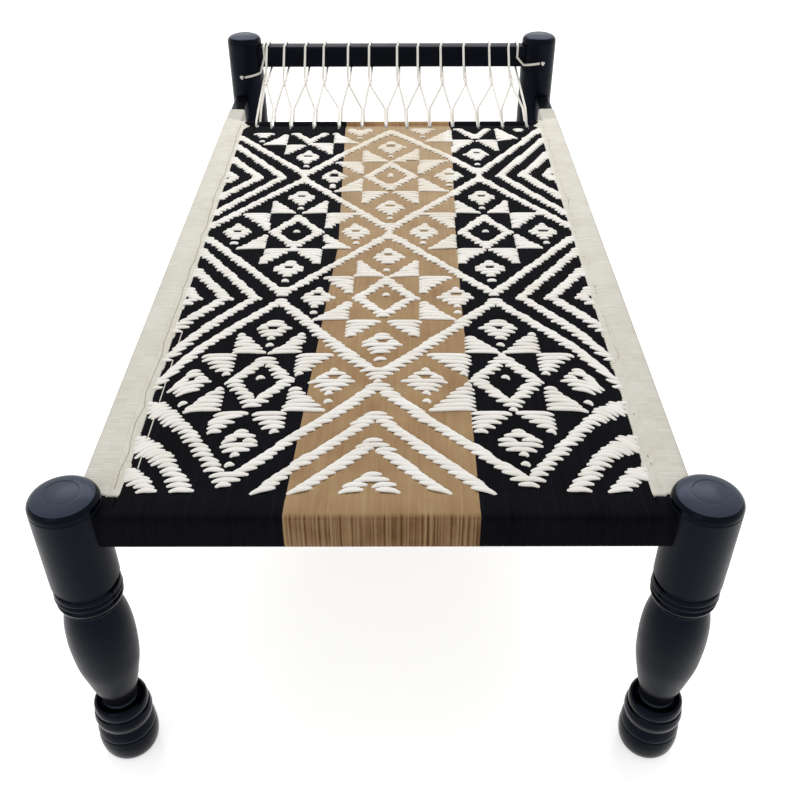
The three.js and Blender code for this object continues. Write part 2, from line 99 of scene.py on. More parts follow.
# Lengths of a leg's turning, from the floor up, and the points that each profile follows, as shares
# of the post's radius and of the length
BASE_HEIGHT = 118
VASE_HEIGHT = 213
COLLAR_HEIGHT = 47
CAP_HEIGHT = 18
CAP_GROOVE = 1.1
CAP_RIM = 11
PROFILE_STEPS = 5
BASE_SHARES = (
    ((0.674, 0), (0.83, 0.06), (0.935, 0.16), (0.975, 0.3), (0.95, 0.425)),
    ((0.925, 0.44), (0.95, 0.475), (0.92, 0.54), (0.86, 0.61)),
    ((0.89, 0.63), (0.94, 0.73), (0.9, 0.82)),
    ((0.855, 0.835), (0.875, 0.9), (0.84, 0.97), (0.76, 1)),
    ((0.68, 0.965), (0.6, 0.93), (0.555, 0.97)),
)
VASE_SHARES = (
    ((0.555, 0.03), (0.6, 0.09), (0.7, 0.155), (0.84, 0.29), (0.965, 0.43), (1.02, 0.6),
     (1.02, 0.72), (0.98, 0.83), (0.9, 0.92), (0.815, 0.985)),
)
COLLAR_SHARES = (
    ((0.85, 0), (0.92, 0.12), (0.975, 0.25), (0.955, 0.31)),
    ((0.92, 0.34), (0.92, 0.38)),
    ((0.965, 0.42), (1.0, 0.49), (0.975, 0.57)),
    ((0.955, 0.6), (0.99, 0.67), (0.965, 0.78)),
    ((0.91, 0.82), (0.905, 0.93)),
)
CAP_SHARES = (
    ((1, 0), (0.985, 0.28), (0.92, 0.56), (0.8, 0.79), (0.63, 0.93), (0.5, 0.985)),
    ((0.48, 0.95), (0.457, 0.97)),
)

# Cords: the width and height of their sections, how far apart they lie and how much that varies.
# The lay of the black and the tan warp is a cord's width over its place, and its wobble.
WARP_HEIGHT = 3.4
BLACK_LAY, TAN_LAY = (1.5, 0.2), (2.0, 0.5)
STREAK_DEPTH = 0.5
WEFT_WIDTH = 11.2
WEFT_HEIGHT = 4.0
WRAP_PITCH = 5.2
WRAP_WIDTH = 10
WRAP_SLACK, BINDING_SLACK = 0.22, 0.1
SIDE_PLAY, FOOT_PLAY = 0.6, 0.4
FOOT_WRAP_PITCH, FOOT_WRAP_WIDTH = 3.9, 6.5
EDGE_CORD = 1.8
SEAM_THREAD = 1.2
SEAM_INSET, SEAM_WANDER = 3, 1.5
EDGE_CORD_INSET = 13
END_BINDING = 2.0
LACE_DIAMETER = 6
LACE_SPACING = 6.8
LACE_GAP = 0.5

# The weave
WARP_LEVEL = 499.2
WARP_WAVE = 0.5
PICK_SPACING = 10.4
WEAVE_START = 27
WEAVE_END = 1425
LEFT_WEAVE_END = 1392
GROUP_COUNT = 144

# How far the picks hang towards the foot at the near corners, how far in, and where down the bed
# that starts, is full, and ends
CORNER_BOW, CORNER_BOW_WIDTH = 38, 70
CORNER_BOW_PLACES = (25, 135, 300, 480)

# A float leans the way its band goes: how steeply, how far at most, and how far the band moves from
# one pick to the next where the lean starts, where it is full, and past which it is another band
FLOAT_TILT = 0.36
LONGEST_TILT = 6
BAND_DRIFTS = (4, 7, 16)

# Where the near part of the bed goes over into the far one, and what changes there: the floats'
# girth, how far their thin tips are filled out, and how far the tips reach past the rule's ends
NEAR_PART = (360, 560)
NEAR_GIRTHS = (0.89, 1)
FAR_BLUNTNESS = (0, 0.65)
TIP_LENGTHS = (3.5, -1.4)

# The length of a whole tip and of the steps between tips, the reach at the warp's edge, the droop
# of outer tips, and which floats are too narrow for tips of full reach
FULL_TIP = 14
FLOAT_STEP = 12
EDGE_REACH = 7
TIP_DROOP = 4.5
DROOP_LENGTH = 22
NARROW_FLOATS = (8, 20)

# The weft's girth under the warp, and how far a pick strays, with the places where that changes
UNDER_GIRTH = 0.45
PICK_SLACK = 0.4
SLACK_PLACES = np.linspace(-400, 400, 23)

# The tan band's edges, as places down the bed and across it, the cords in each band, and how far
# down the bed the wraps, strips and threads beside them go
BED_MIDDLE = 750
TAN_LEFT = ((0, -130), (BED_MIDDLE, -100), (ROD_DOWN, -119))
TAN_RIGHT = ((0, 120), (BED_MIDDLE, 130), (ROD_DOWN, 155))
CORDS_LEFT, CORDS_MIDDLE, CORDS_RIGHT = 57, 60, 57
SIDE_WRAP_END = 1502
END_WRAP_END = 1585
STRIP_ENDS = (WEAVE_START - 2, SIDE_WRAP_END - 20)
SEAM_ENDS = (WEAVE_START + 8, SIDE_WRAP_END - 40)
EDGE_CORD_ENDS = (WEAVE_START + 16, 460)
CORD_GAP = 0.2

# The warp's loop round the rod: its radius, and in degrees where it starts, how far it goes, its
# steps and where it narrows to lie inside itself
ROD_LOOP_RADIUS = 15.5
ROD_LOOP_START, ROD_LOOP_TURN, ROD_LOOP_STEP = 150, 600, 20
ROD_LOOP_NARROWS = (280, 440)

# How far the lacing pushes the warp's cords apart at the rod, over what width, and where down the
# bed that starts and is done
PART_PUSH, PART_WIDTH = 6.6, 20
PART_PLACES = (ROD_DOWN - 60, ROD_DOWN - 10)

# The weft's heights over the warp and under it, and a float's tip within the weave and at the
# warp's edge: how far in from its end, the height and the girth
OVER_LEVEL = WARP_LEVEL + WARP_HEIGHT / 2 + WEFT_HEIGHT / 2 - 0.9
UNDER_LEVEL = WARP_LEVEL - WARP_HEIGHT / 2 - WEFT_HEIGHT * 0.3 - 0.3
TIP = (
    (-5.5, UNDER_LEVEL, UNDER_GIRTH), (-2.5, UNDER_LEVEL + 2.0, UNDER_GIRTH),
    (0, OVER_LEVEL - 1.0, 0.5), (3.5, OVER_LEVEL - 0.5, 0.72), (8, OVER_LEVEL - 0.1, 0.92),
    (13, OVER_LEVEL, 1),
)
EDGE_TIP = (
    (-5.5, OVER_LEVEL - 4.2, 0.8), (-2.5, OVER_LEVEL - 3.9, 0.85), (0, OVER_LEVEL - 3.5, 0.9),
    (3.5, OVER_LEVEL - 2.7, 0.9), (8, OVER_LEVEL - 1.3, 0.95), (13, OVER_LEVEL - 0.3, 1),
)

# How much of a pick's bow each point of the strip beside it takes, from the side rail inward
STRIP_HANG = (0.1, 0.2, 0.5, 0.9, 1, 1, 1)

# The pattern is a lattice of diamonds that follows the warp. Its rows lie at places down the bed,
# each with its count in rows, and its columns at places across it, as they are in the middle of
# the bed. The two inner columns stand wider apart in the first row.
ROW_PLACES = (34, 190, 284, 542, 809, 1103, 1416, 1690)
ROW_COUNTS = (0, 0.65, 1, 2, 3, 4, 5, 6)
COLUMN_PLACES = (-372, -186, -1, 190, 372)
FIRST_ROW_COLUMNS = (-372, -204, -1, 202, 372)
MIDDLE_EDGE = 363.4
ROW_TILT = 29
TILT_START, TILT_FULL = 1000, 1400

# Sizes in the pattern, as shares of half a diamond: its outline, the nested bands of a plain cell,
# and the figures of a star cell
OUTLINE_HALF = 0.064
OUTLINE_PULL = 0.049
NESTED_SHARES = ((0.08, 0.21), (0.37, 0.515), (0.67, 0.8))
FIRST_TAN_SHARES = ((0.06, 0.17), (0.35, 0.47), (0.62, 0.74))
FIRST_SIDE_SHARES = ((0.215, 0.365), (0.55, 0.705))
STAR_CELLS = {(0, 2), (0, 4), (-1, 1), (1, 1), (-1, 3), (1, 3), (-1, 5), (1, 5)}
STAR_HALF = (0.311, 0.296)
RING_PLACE = (0.641, 0.591)
RING_HALF = (0.352, 0.297)
RING_CORE = 0.475
STAR_RING_CORE = 0.6
EYE_HALF, EYE_LIFT = 0.05, 0.025
PICK_HALF = 0.02
BEAD_HALF, BEAD_DROP = 0.028, 0.19

# The lacing's places, as shares of the half width between the posts and of the warp's half width
RAIL_PLACE_SHARES = (
    -0.942, -0.809, -0.649, -0.508, -0.323, -0.163, 0.05, 0.207, 0.381, 0.555, 0.751, 0.898,
)
FIRST_RAIL_SHARE = -0.975
LAST_RAIL_SHARE = 0.96
ROD_PLACE_SHARES = (
    -0.92, -0.817, -0.689, -0.529, -0.356, -0.199, -0.037, 0.102, 0.257, 0.419, 0.592, 0.76,
    0.925,
)
PART_SHARE = 0.25
CROSS_SHARE = 0.6
TWIST_LENGTH = 30
TAIL_ANGLE = 33
TAIL_DROP = {-1: 12, 1: -7}
TAIL_FALL = {-1: 7, 1: -10}
KNOT_RADIUS = 5.5
KNOT_SCALE = (1.25, 1.6, 1.25)
KNOT_CORD = 4
LACE_TURN_RADIUS = ROD_RADIUS + LACE_GAP + LACE_DIAMETER / 2

# How far back and how far up the lacing goes from the rod to the head rail
LACE_RUN, LACE_RISE = HEAD_Y - ROD_Y, HEAD_RAIL_MIDDLE - ROD_Z

# Points along the lacing's turns, and the length between them in the end
ROD_TURN_STEPS, CORNER_STEPS, TWIST_STEPS = 20, 8, 12
LACE_STEP = 3.0

random = np.random.default_rng(7)


def new_object(name, data):
    """An object at the origin, in the scene."""
    made = bpy.data.objects.new(name, data)
    bpy.context.scene.collection.objects.link(made)
    return made


# Camera, at the photograph's place
CAMERA_PLACE = (0.0159, -1.7170, 1.2770)
CAMERA_TILT = 54.43
CAMERA_ROLL = 0.11
CAMERA_LENS = 40.55
CAMERA_SENSOR = 36


def add_camera():
    data = bpy.data.cameras.new("camera")
    data.lens = CAMERA_LENS
    data.sensor_width = CAMERA_SENSOR
    camera = new_object("camera", data)
    camera.location = CAMERA_PLACE
    camera.rotation_euler = (math.radians(CAMERA_TILT), math.radians(CAMERA_ROLL), 0)
    bpy.context.scene.camera = camera


# Materials

# The finishes' patterns, as features to the metre. Rubbed patches in the lacquer are 110 mm wide,
# its smears 35 mm and its tool rings 2.4 mm apart. The yarn's patches are 70 mm, changes in its dye
# 250 mm and the streaks down the front 4 mm. Cotton's fibres and the marks on drawn bar are far
# finer than a millimetre, and are drawn a millimetre wide to show.
LACQUER_PATCHES, LACQUER_SMEARS, TOOL_RINGS, RING_STRETCH = 9, 28, 30, 14
FIBRES, YARN_PATCHES, DYE_CHANGES, FRONT_STREAKS = 900, 14, 4, 270
STEEL_MARKS, MARK_STRETCH = 900, 0.05

# How deep the finishes' relief is, the plies in a cord, and how far on in the dye each cord starts
RELIEF = 0.5
PLIES = 2
LOT_STEP = 7.3

# Tones by polish: near black when satin; blue grey at half polish on the cap tops, a painted
# reflection of the overhead lamp; darker black where polished, which is painted shade
LACQUER_TONES_AND_PAINTED_LIGHT = ((0.03, "#07080b"), (0.08, "#0d0e13"), (0.53, "#3c424e"), (0.58, "#474d5b"),
                 (0.9, "#040508"))
STEEL_TONES = ((0.3, "#84878b"), (0.7, "#a2a5a9"))

# How far the cords blend towards their head end colour, over the share of the way from the foot
# rail to the rod
HEAD_END_BLEND_STOPS = ((0, "#000000"), (0.3, "#000000"), (0.6, "#7c7c7c"), (0.85, "#a6a6a6"),
              (0.985, "#a6a6a6"), (1, "#000000"))
HEAD_END_BLEND_ENDS = (FOOT_Y, ROD_Y - 17)

# Where the tan cords' painted shade comes in: down the front of the foot rail, where they are also
# streaked, and at the rod, where the band dips. Also where the tint of the picks over the tan band
# ends: off its middle, from none of it to all
FRONT_STREAKS_AND_SHADE, ROD_PAINTED_SHADE = (FOOT_Y - 12, FOOT_Y - 20), (ROD_Y - 30, ROD_Y - 21)
TINT_MIDDLE, TINT_EDGES = 12, (130, 115)


def linear(code):
    """The linear colour of an sRGB hex value."""
    channels = [int(code[k:k + 2], 16) / 255 for k in (1, 3, 5)]
    return [c / 12.92 if c <= 0.04045 else ((c + 0.055) / 1.055) ** 2.4 for c in channels] + [1]


def add(tree, kind, inputs=None, stops=(), **settings):
    """A node with its settings, and a ramp's places and hex colours. An input is a value, a socket
    to link, or a node whose first output is linked."""
    node = tree.nodes.new(kind)
    for key, value in settings.items():
        setattr(node, key, value)
    for key, value in (inputs or {}).items():
        if isinstance(value, bpy.types.Node):
            value = value.outputs[0]
        if isinstance(value, bpy.types.NodeSocket):
            tree.links.new(value, node.inputs[key])
        else:
            node.inputs[key].default_value = value
    if stops:
        elements = node.color_ramp.elements
        for _ in stops[2:]:
            elements.new(0.5)
        for element, (place, code) in zip(elements, stops):
            element.position, element.color = place, linear(code)
    return node


def new_material(name):
    """A material and its empty node tree."""
    material = bpy.data.materials.new(name)
    material.use_nodes = True
    material.node_tree.nodes.clear()
    return material, material.node_tree


def black_lacquer():
    """Black lacquer over turned hardwood: satin on the plain lengths, rubbed on the caps and
    polished on the beads, with faint tool rings under it. The blue grey of the cap tops is a
    painted reflection of the overhead lamp, and the darker black of the polished beads, base and
    cap rim is painted shade."""
    material, tree = new_material("black_lacquer_on_turned_wood")
    place = add(tree, "ShaderNodeTexCoord").outputs["Object"]
    # How polished the lacquer is. This also sets the painted light: a reflection on the cap tops
    # and shade on the beads
    polish_and_painted_light = add(tree, "ShaderNodeAttribute", attribute_name="polish_and_painted_light").outputs["Fac"]
    patches = add(tree, "ShaderNodeTexNoise", {
        "Vector": place, "Scale": LACQUER_PATCHES, "Detail": 3,
    })
    tone = add(tree, "ShaderNodeMath", {0: patches, 1: 0.1, 2: polish_and_painted_light}, operation="MULTIPLY_ADD")
    colour = add(tree, "ShaderNodeValToRGB", {"Fac": tone}, LACQUER_TONES_AND_PAINTED_LIGHT)
    smears = add(tree, "ShaderNodeTexNoise", {
        "Vector": place, "Scale": LACQUER_SMEARS, "Detail": 4,
    })
    satin = add(tree, "ShaderNodeMapRange", {
        "Value": smears, "From Min": 0.3, "From Max": 0.7, "To Min": 0.27, "To Max": 0.37,
    })
    gloss = add(tree, "ShaderNodeMath", {0: polish_and_painted_light, 1: -0.17, 2: satin}, operation="MULTIPLY_ADD")
    stretched = add(tree, "ShaderNodeMapping", {"Vector": place, "Scale": (1, 1, RING_STRETCH)})
    rings = add(tree, "ShaderNodeTexNoise", {
        "Vector": stretched, "Scale": TOOL_RINGS, "Detail": 4,
    })
    bump = add(tree, "ShaderNodeBump", {
        "Height": rings, "Strength": 0.1, "Distance": RELIEF * MM,
    })
    shader = add(tree, "ShaderNodeBsdfPrincipled", {
        "Base Color": colour, "Roughness": gloss, "Normal": bump, "Specular IOR Level": 0.11,
        "Specular Tint": linear("#bdd0ff"),
    })
    add(tree, "ShaderNodeOutputMaterial", {"Surface": shader})
    return material


def ply_wave(tree, along, ply_pitch):
    """From 1 on the crown of a ply to -1 in the groove beside it, as the plies wind on."""
    turn = add(tree, "ShaderNodeAttribute", attribute_name="turn").outputs["Vector"]
    split = add(tree, "ShaderNodeSeparateXYZ", {"Vector": turn}).outputs
    angle = add(tree, "ShaderNodeMath", {0: split["Y"], 1: split["X"]}, operation="ARCTAN2")
    wound = add(tree, "ShaderNodeMath", {
        0: along, 1: 2 * math.pi / (ply_pitch * MM),
    }, operation="MULTIPLY")
    phase = add(tree, "ShaderNodeMath", {0: angle, 1: PLIES, 2: wound}, operation="MULTIPLY_ADD")
    return add(tree, "ShaderNodeMath", {0: phase}, operation="SINE")


def dye_lots(tree, along):
    """A shade that changes from cord to cord and along each."""
    cord = add(tree, "ShaderNodeAttribute", attribute_name="cord").outputs["Fac"]
    lot = add(tree, "ShaderNodeMath", {0: cord, 1: LOT_STEP, 2: along}, operation="MULTIPLY_ADD")
    return add(tree, "ShaderNodeTexNoise", {
        "W": lot, "Scale": DYE_CHANGES, "Detail": 2,
    }, noise_dimensions="1D")


def streaks_and_painted_shade(tree, place):
    """Painted shade where the tan cords turn: dark and streaked down the front of the foot rail,
    and plain and dark at the rod. The streaking is partly the cords' own tone and partly painted
    shade between them."""
    split = add(tree, "ShaderNodeSeparateXYZ", {"Vector": place}).outputs
    front, painted_shade_at_rod = [add(tree, "ShaderNodeMapRange", {
        "Value": split["Y"], "From Min": start * MM, "From Max": end * MM,
    }) for start, end in (FRONT_STREAKS_AND_SHADE, ROD_PAINTED_SHADE)]
    turned = add(tree, "ShaderNodeMath", {0: front, 1: painted_shade_at_rod}, operation="MAXIMUM")
    stripes = add(tree, "ShaderNodeTexNoise", {
        "W": split["X"], "Scale": FRONT_STREAKS, "Detail": 3,
    }, noise_dimensions="1D")
    swing = add(tree, "ShaderNodeMath", {0: stripes, 1: 0.5}, operation="SUBTRACT")
    spread = add(tree, "ShaderNodeMath", {0: front, 1: 1.9, 2: 0.1}, operation="MULTIPLY_ADD")
    # Painted shade: darker where the cords turn down the front and round the rod
    level = add(tree, "ShaderNodeMath", {0: turned, 1: -0.28, 2: 0.25}, operation="MULTIPLY_ADD")
    return add(tree, "ShaderNodeMath", {0: swing, 1: spread, 2: level}, operation="MULTIPLY_ADD")


def head_end_blend(tree, place, over_tan):
    """How far the cords blend towards their head end colour, all of them or only over the tan band.
    """
    split = add(tree, "ShaderNodeSeparateXYZ", {"Vector": place}).outputs
    share = add(tree, "ShaderNodeMapRange", {
        "Value": split["Y"], "From Min": HEAD_END_BLEND_ENDS[0] * MM, "From Max": HEAD_END_BLEND_ENDS[1] * MM,
    })
    toward_head_end = add(tree, "ShaderNodeValToRGB", {"Fac": share}, HEAD_END_BLEND_STOPS)
    if not over_tan:
        return toward_head_end
    off = add(tree, "ShaderNodeMath", {0: split["X"], 1: TINT_MIDDLE * MM}, operation="SUBTRACT")
    aside = add(tree, "ShaderNodeMath", {0: off}, operation="ABSOLUTE")
    inside = add(tree, "ShaderNodeMapRange", {
        "Value": aside, "From Min": TINT_EDGES[0] * MM, "From Max": TINT_EDGES[1] * MM,
    })
    return add(tree, "ShaderNodeMath", {0: toward_head_end, 1: inside}, operation="MULTIPLY")


def cotton(name, light, dark, ply_pitch, groove, specular=0.15, sheen=0.05, dark_streak_and_shade=None, head_end_colour=None,
           over_tan=False):
    """Twisted cotton: plies that wind round the cord, loose fibres, a shade that changes from cord
    to cord and along each, and a dry surface. The grooves between the plies are painted a little
    darker as their shade. With a dark streak and shade colour given, the cords are streaked where
    they turn round the foot rail and the rod, and are painted darker there as shade. With a head
    end colour given, they blend towards it at the head end, all of them or only over the tan band."""
    material, tree = new_material(name)
    place = add(tree, "ShaderNodeTexCoord").outputs["Object"]
    along = add(tree, "ShaderNodeAttribute", attribute_name="along").outputs["Fac"]
    wave = ply_wave(tree, along, ply_pitch)
    fibres = add(tree, "ShaderNodeTexNoise", {"Vector": place, "Scale": FIBRES, "Detail": 3})
    height = add(tree, "ShaderNodeMath", {0: wave, 1: groove, 2: fibres}, operation="MULTIPLY_ADD")
    lots = dye_lots(tree, along)
    if dark_streak_and_shade:
        lots = add(tree, "ShaderNodeMath", {
            0: lots, 1: 0.5, 2: streaks_and_painted_shade(tree, place),
        }, operation="MULTIPLY_ADD")
    patches = add(tree, "ShaderNodeTexNoise", {
        "Vector": place, "Scale": YARN_PATCHES, "Detail": 5,
    })
    shade = add(tree, "ShaderNodeMath", {0: patches, 1: lots})
    # The grooves between the plies are painted a little darker, as their shade
    twisted = add(tree, "ShaderNodeMath", {
        0: wave, 1: 0.16 * groove, 2: shade,
    }, operation="MULTIPLY_ADD")
    half = add(tree, "ShaderNodeMath", {0: twisted, 1: 0.5}, operation="MULTIPLY")
    tones = ((0.35, dark), (0.65, light))
    if dark_streak_and_shade:
        tones = ((0.2, dark_streak_and_shade), *tones)
    colour = add(tree, "ShaderNodeValToRGB", {"Fac": half}, tones)
    if head_end_colour:
        colour = add(tree, "ShaderNodeMix", {
            0: head_end_blend(tree, place, over_tan), 6: colour, 7: linear(head_end_colour),
        }, data_type="RGBA").outputs[2]
    bump = add(tree, "ShaderNodeBump", {
        "Height": height, "Strength": 0.4, "Distance": RELIEF * MM,
    })
    shader = add(tree, "ShaderNodeBsdfPrincipled", {
        "Base Color": colour, "Normal": bump, "Roughness": 0.9, "Specular IOR Level": specular,
        "Sheen Weight": sheen,
    })
    add(tree, "ShaderNodeOutputMaterial", {"Surface": shader})
    return material


def bright_steel():
    """Cold drawn steel bar: grey, with fine marks along it."""
    material, tree = new_material("cold_drawn_steel")
    place = add(tree, "ShaderNodeTexCoord").outputs["Object"]
    stretched = add(tree, "ShaderNodeMapping", {"Vector": place, "Scale": (MARK_STRETCH, 1, 1)})
    marks = add(tree, "ShaderNodeTexNoise", {
        "Vector": stretched, "Scale": STEEL_MARKS, "Detail": 2,
    })
    colour = add(tree, "ShaderNodeValToRGB", {"Fac": marks}, STEEL_TONES)
    gloss = add(tree, "ShaderNodeMapRange", {"Value": marks, "To Min": 0.28, "To Max": 0.45})
    shader = add(tree, "ShaderNodeBsdfPrincipled", {
        "Base Color": colour, "Roughness": gloss, "Metallic": 1,
    })
    add(tree, "ShaderNodeOutputMaterial", {"Surface": shader})
    return material


# Meshes

def finish_piece(piece, slot, *nodes):
    """Puts a finished mesh on the bed's one body, in place of the frame's nodes."""
    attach(piece, "root")
    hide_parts(*nodes)


def mesh_object(name, vertices, faces, material):
    """A smooth solid with its sharp edges kept, from millimetres."""
    mesh = bpy.data.meshes.new(name)
    mesh.from_pydata((np.asarray(vertices) * MM).tolist(), [], faces)
    mesh.materials.append(material)
    mesh.shade_smooth()
    mesh.set_sharp_from_angle(angle=SHARP_ANGLE)
    return new_object(name, mesh)


def cord_tree():
    """Sweeps an oval section along every route, with the cord's own coordinates stored on it."""
    tree = bpy.data.node_groups.new("cord_along_its_route", "GeometryNodeTree")
    sockets = (("Routes", "Geometry"), ("Width", "Float"), ("Height", "Float"), ("Sides", "Int"),
               ("Level", "Bool"), ("Cotton", "Material"))
    for name, kind in sockets:
        tree.interface.new_socket(name, in_out="INPUT", socket_type=f"NodeSocket{kind}")
    tree.interface.new_socket("Cords", in_out="OUTPUT", socket_type="NodeSocketGeometry")
    given = add(tree, "NodeGroupInput").outputs
    circle = add(tree, "GeometryNodeCurvePrimitiveCircle", {
        "Resolution": given["Sides"], "Radius": 0.5,
    })
    turn = add(tree, "GeometryNodeStoreNamedAttribute", {
        "Geometry": circle, "Name": "turn", "Value": add(tree, "GeometryNodeInputPosition"),
    }, data_type="FLOAT_VECTOR")
    size = add(tree, "ShaderNodeCombineXYZ", {"X": given["Width"], "Y": given["Height"], "Z": 1})
    section = add(tree, "GeometryNodeTransform", {"Geometry": turn, "Scale": size})
    flat = add(tree, "GeometryNodeSetCurveNormal", {
        "Curve": given["Routes"], "Selection": given["Level"],
    }, mode="Z_UP")
    along = add(tree, "GeometryNodeStoreNamedAttribute", {
        "Geometry": flat, "Name": "along",
        "Value": add(tree, "GeometryNodeSplineParameter").outputs["Length"],
    }, data_type="FLOAT")
    cord = add(tree, "GeometryNodeStoreNamedAttribute", {
        "Geometry": along, "Name": "cord", "Value": add(tree, "GeometryNodeInputIndex"),
    }, data_type="FLOAT", domain="CURVE")
    cords = add(tree, "GeometryNodeCurveToMesh", {
        "Curve": cord, "Profile Curve": section, "Scale": add(tree, "GeometryNodeInputRadius"),
        "Fill Caps": True,
    })
    smooth = add(tree, "GeometryNodeSetShadeSmooth", {"Geometry": cords})
    finished = add(tree, "GeometryNodeSetMaterial", {
        "Geometry": smooth, "Material": given["Cotton"],
    })
    real = add(tree, "GeometryNodeRealizeInstances", {"Geometry": finished})
    add(tree, "NodeGroupOutput", {"Cords": real})
    return tree


def curve_of(name, routes):
    """A curve object with one poly spline for each route. A route's fourth column is its girth."""
    curve = bpy.data.curves.new(name, "CURVE")
    curve.dimensions = "3D"
    for route in routes:
        spline = curve.splines.new("POLY")
        spline.points.add(len(route) - 1)
        places = np.ones((len(route), 4))
        places[:, :3] = route[:, :3] * MM
        spline.points.foreach_set("co", places.ravel())
        spline.points.foreach_set("radius", route[:, 3])
    return curve


def swept(name, routes, width, height, sides, material, slot, *nodes, level=False):
    """A finished piece of cords of one size along their routes, as one plain mesh. Level cords lie
    flat all the way."""
    source = new_object(name + "_routes", curve_of(name, routes))
    modifier = source.modifiers.new("cords", "NODES")
    modifier.node_group = CORD_TREE
    values = {"Width": width * MM, "Height": height * MM, "Sides": sides, "Cotton": material,
              "Level": level}
    for item in CORD_TREE.interface.items_tree:
        if item.name in values:
            modifier[item.identifier] = values[item.name]
    source.update_tag()
    bpy.context.view_layer.update()
    evaluated = source.evaluated_get(bpy.context.evaluated_depsgraph_get())
    mesh = bpy.data.meshes.new_from_object(evaluated)
    mesh.name = name
    bpy.data.objects.remove(source)
    piece = new_object(name, mesh)
    finish_piece(piece, slot, *nodes)
    return piece


def route_of(xs, ys, zs, girth=1.0):
    """A route from its points' places and girths, each of which may be the same all along."""
    return np.column_stack(np.broadcast_arrays(xs, ys, zs, girth))


# Turned legs

def smooth_through(points, steps):
    """A Catmull-Rom curve through points, with steps to each stretch."""
    points = np.asarray(points, float)
    padded = np.vstack([2 * points[0] - points[1], points, 2 * points[-1] - points[-2]])
    out = []
    for a, b, c, d in zip(padded, padded[1:], padded[2:], padded[3:]):
        for t in np.arange(steps) / steps:
            out.append(0.5 * (2 * b + (c - a) * t + (2 * a - 5 * b + 4 * c - d) * t ** 2
                              + (3 * b - a - 3 * c + d) * t ** 3))
    out.append(points[-1])
    return np.array(out)


def turning(stretches, bottom, height):
    """The profile of one turned length, as radius and height."""
    parts = []
    for stretch in stretches:
        marks = [(share * POST_RADIUS, bottom + up * height) for share, up in stretch]
        parts.append(smooth_through(marks, PROFILE_STEPS))
    return np.vstack(parts)


def leg_profile(top):
    """The whole profile, with how polished each point is, which also sets the lacquer's painted
    reflection and shade.
    """
    collar_bottom = BASE_HEIGHT + VASE_HEIGHT
    post_bottom = collar_bottom + COLLAR_HEIGHT
    post_top = top - CAP_HEIGHT
    plain_post = np.array([
        (POST_RADIUS, post_bottom),
        (POST_RADIUS, (post_bottom + post_top) / 2),
        (POST_RADIUS, post_top - 2 * CAP_GROOVE),
        (POST_RADIUS - CAP_GROOVE, post_top - CAP_GROOVE),
    ])
    cap = turning(CAP_SHARES, post_top, CAP_HEIGHT)
    # The cap's rim is polished and painted darker as shade. Its top is painted blue grey as the
    # lamp's reflection
    cap_polish_and_painted_light = np.where(cap[:, 1] < post_top + CAP_RIM, 1, 0.5)
    # The base and collar are polished, and are painted darker as their shade
    lengths = (
        (turning(BASE_SHARES, 0, BASE_HEIGHT), 1),
        (turning(VASE_SHARES, BASE_HEIGHT, VASE_HEIGHT), 0),
        (turning(COLLAR_SHARES, collar_bottom, COLLAR_HEIGHT), 1),
        (plain_post, 0),
        (cap, cap_polish_and_painted_light),
    )
    return np.vstack([np.column_stack([points, np.full(len(points), polish_and_painted_light)])
                      for points, polish_and_painted_light in lengths])


def revolved(name, profile, x, y, sides, material):
    """A closed solid of revolution about an upright axis, from radius, height and how polished it
    is, which also carries the lacquer's painted reflection and shade.
    """
    angles = np.arange(sides) * 2 * math.pi / sides
    vertices = [(x + r * math.cos(a), y + r * math.sin(a), z)
                for r, z, _ in profile for a in angles]
    faces = []
    for ring in range(len(profile) - 1):
        for k in range(sides):
            a, b = ring * sides + k, ring * sides + (k + 1) % sides
            faces.append((a, b, b + sides, a + sides))
    last = (len(profile) - 1) * sides
    faces.append(tuple(reversed(range(sides))))
    faces.append(tuple(range(last, last + sides)))
    piece = mesh_object(name, vertices, faces, material)
    polish_and_painted_light = piece.data.attributes.new("polish_and_painted_light", "FLOAT", "POINT")
    polish_and_painted_light.data.foreach_set("value", np.repeat(profile[:, 2], sides))
    return piece


def add_legs(material):
    for side, word in SIDES:
        for end, y, top in (("foot", FOOT_Y, FOOT_LEG_TOP), ("head", HEAD_Y, HEAD_LEG_TOP)):
            piece = revolved(f"turned_leg_{end}_{word}", leg_profile(top), side * LEG_X, y,
                             LEG_SIDES, material)
            finish_piece(piece, "lacquered_wood", f"leg_{end}_{word}")


# Rails

def rounded_section(width, height, rounding, steps):
    """Corners of a rounded rectangle about the origin, counter-clockwise."""
    points = []
    for corner in range(4):
        start = corner * math.pi / 2
        centre_x = (width / 2 - rounding) * (1 if corner in (0, 3) else -1)
        centre_y = (height / 2 - rounding) * (1 if corner in (0, 1) else -1)
        for t in np.linspace(start, start + math.pi / 2, steps + 1):
            points.append((centre_x + rounding * math.cos(t), centre_y + rounding * math.sin(t)))
    return np.array(points)


def side_rail_x(down):
    """The middle of the right side rail, down the bed."""
    outward = SIDE_RAIL_INSET_AT_FOOT + SIDE_RAIL_OUTSET_AT_HEAD
    return LEG_X - SIDE_RAIL_INSET_AT_FOOT + np.asarray(down) / BED_LENGTH * outward


def warp_edge(down):
    """The outer edge of the warp on the right side."""
    return side_rail_x(down) - RAIL_WIDTH / 2 - WRAP_THICKNESS - WEFT_STRIP


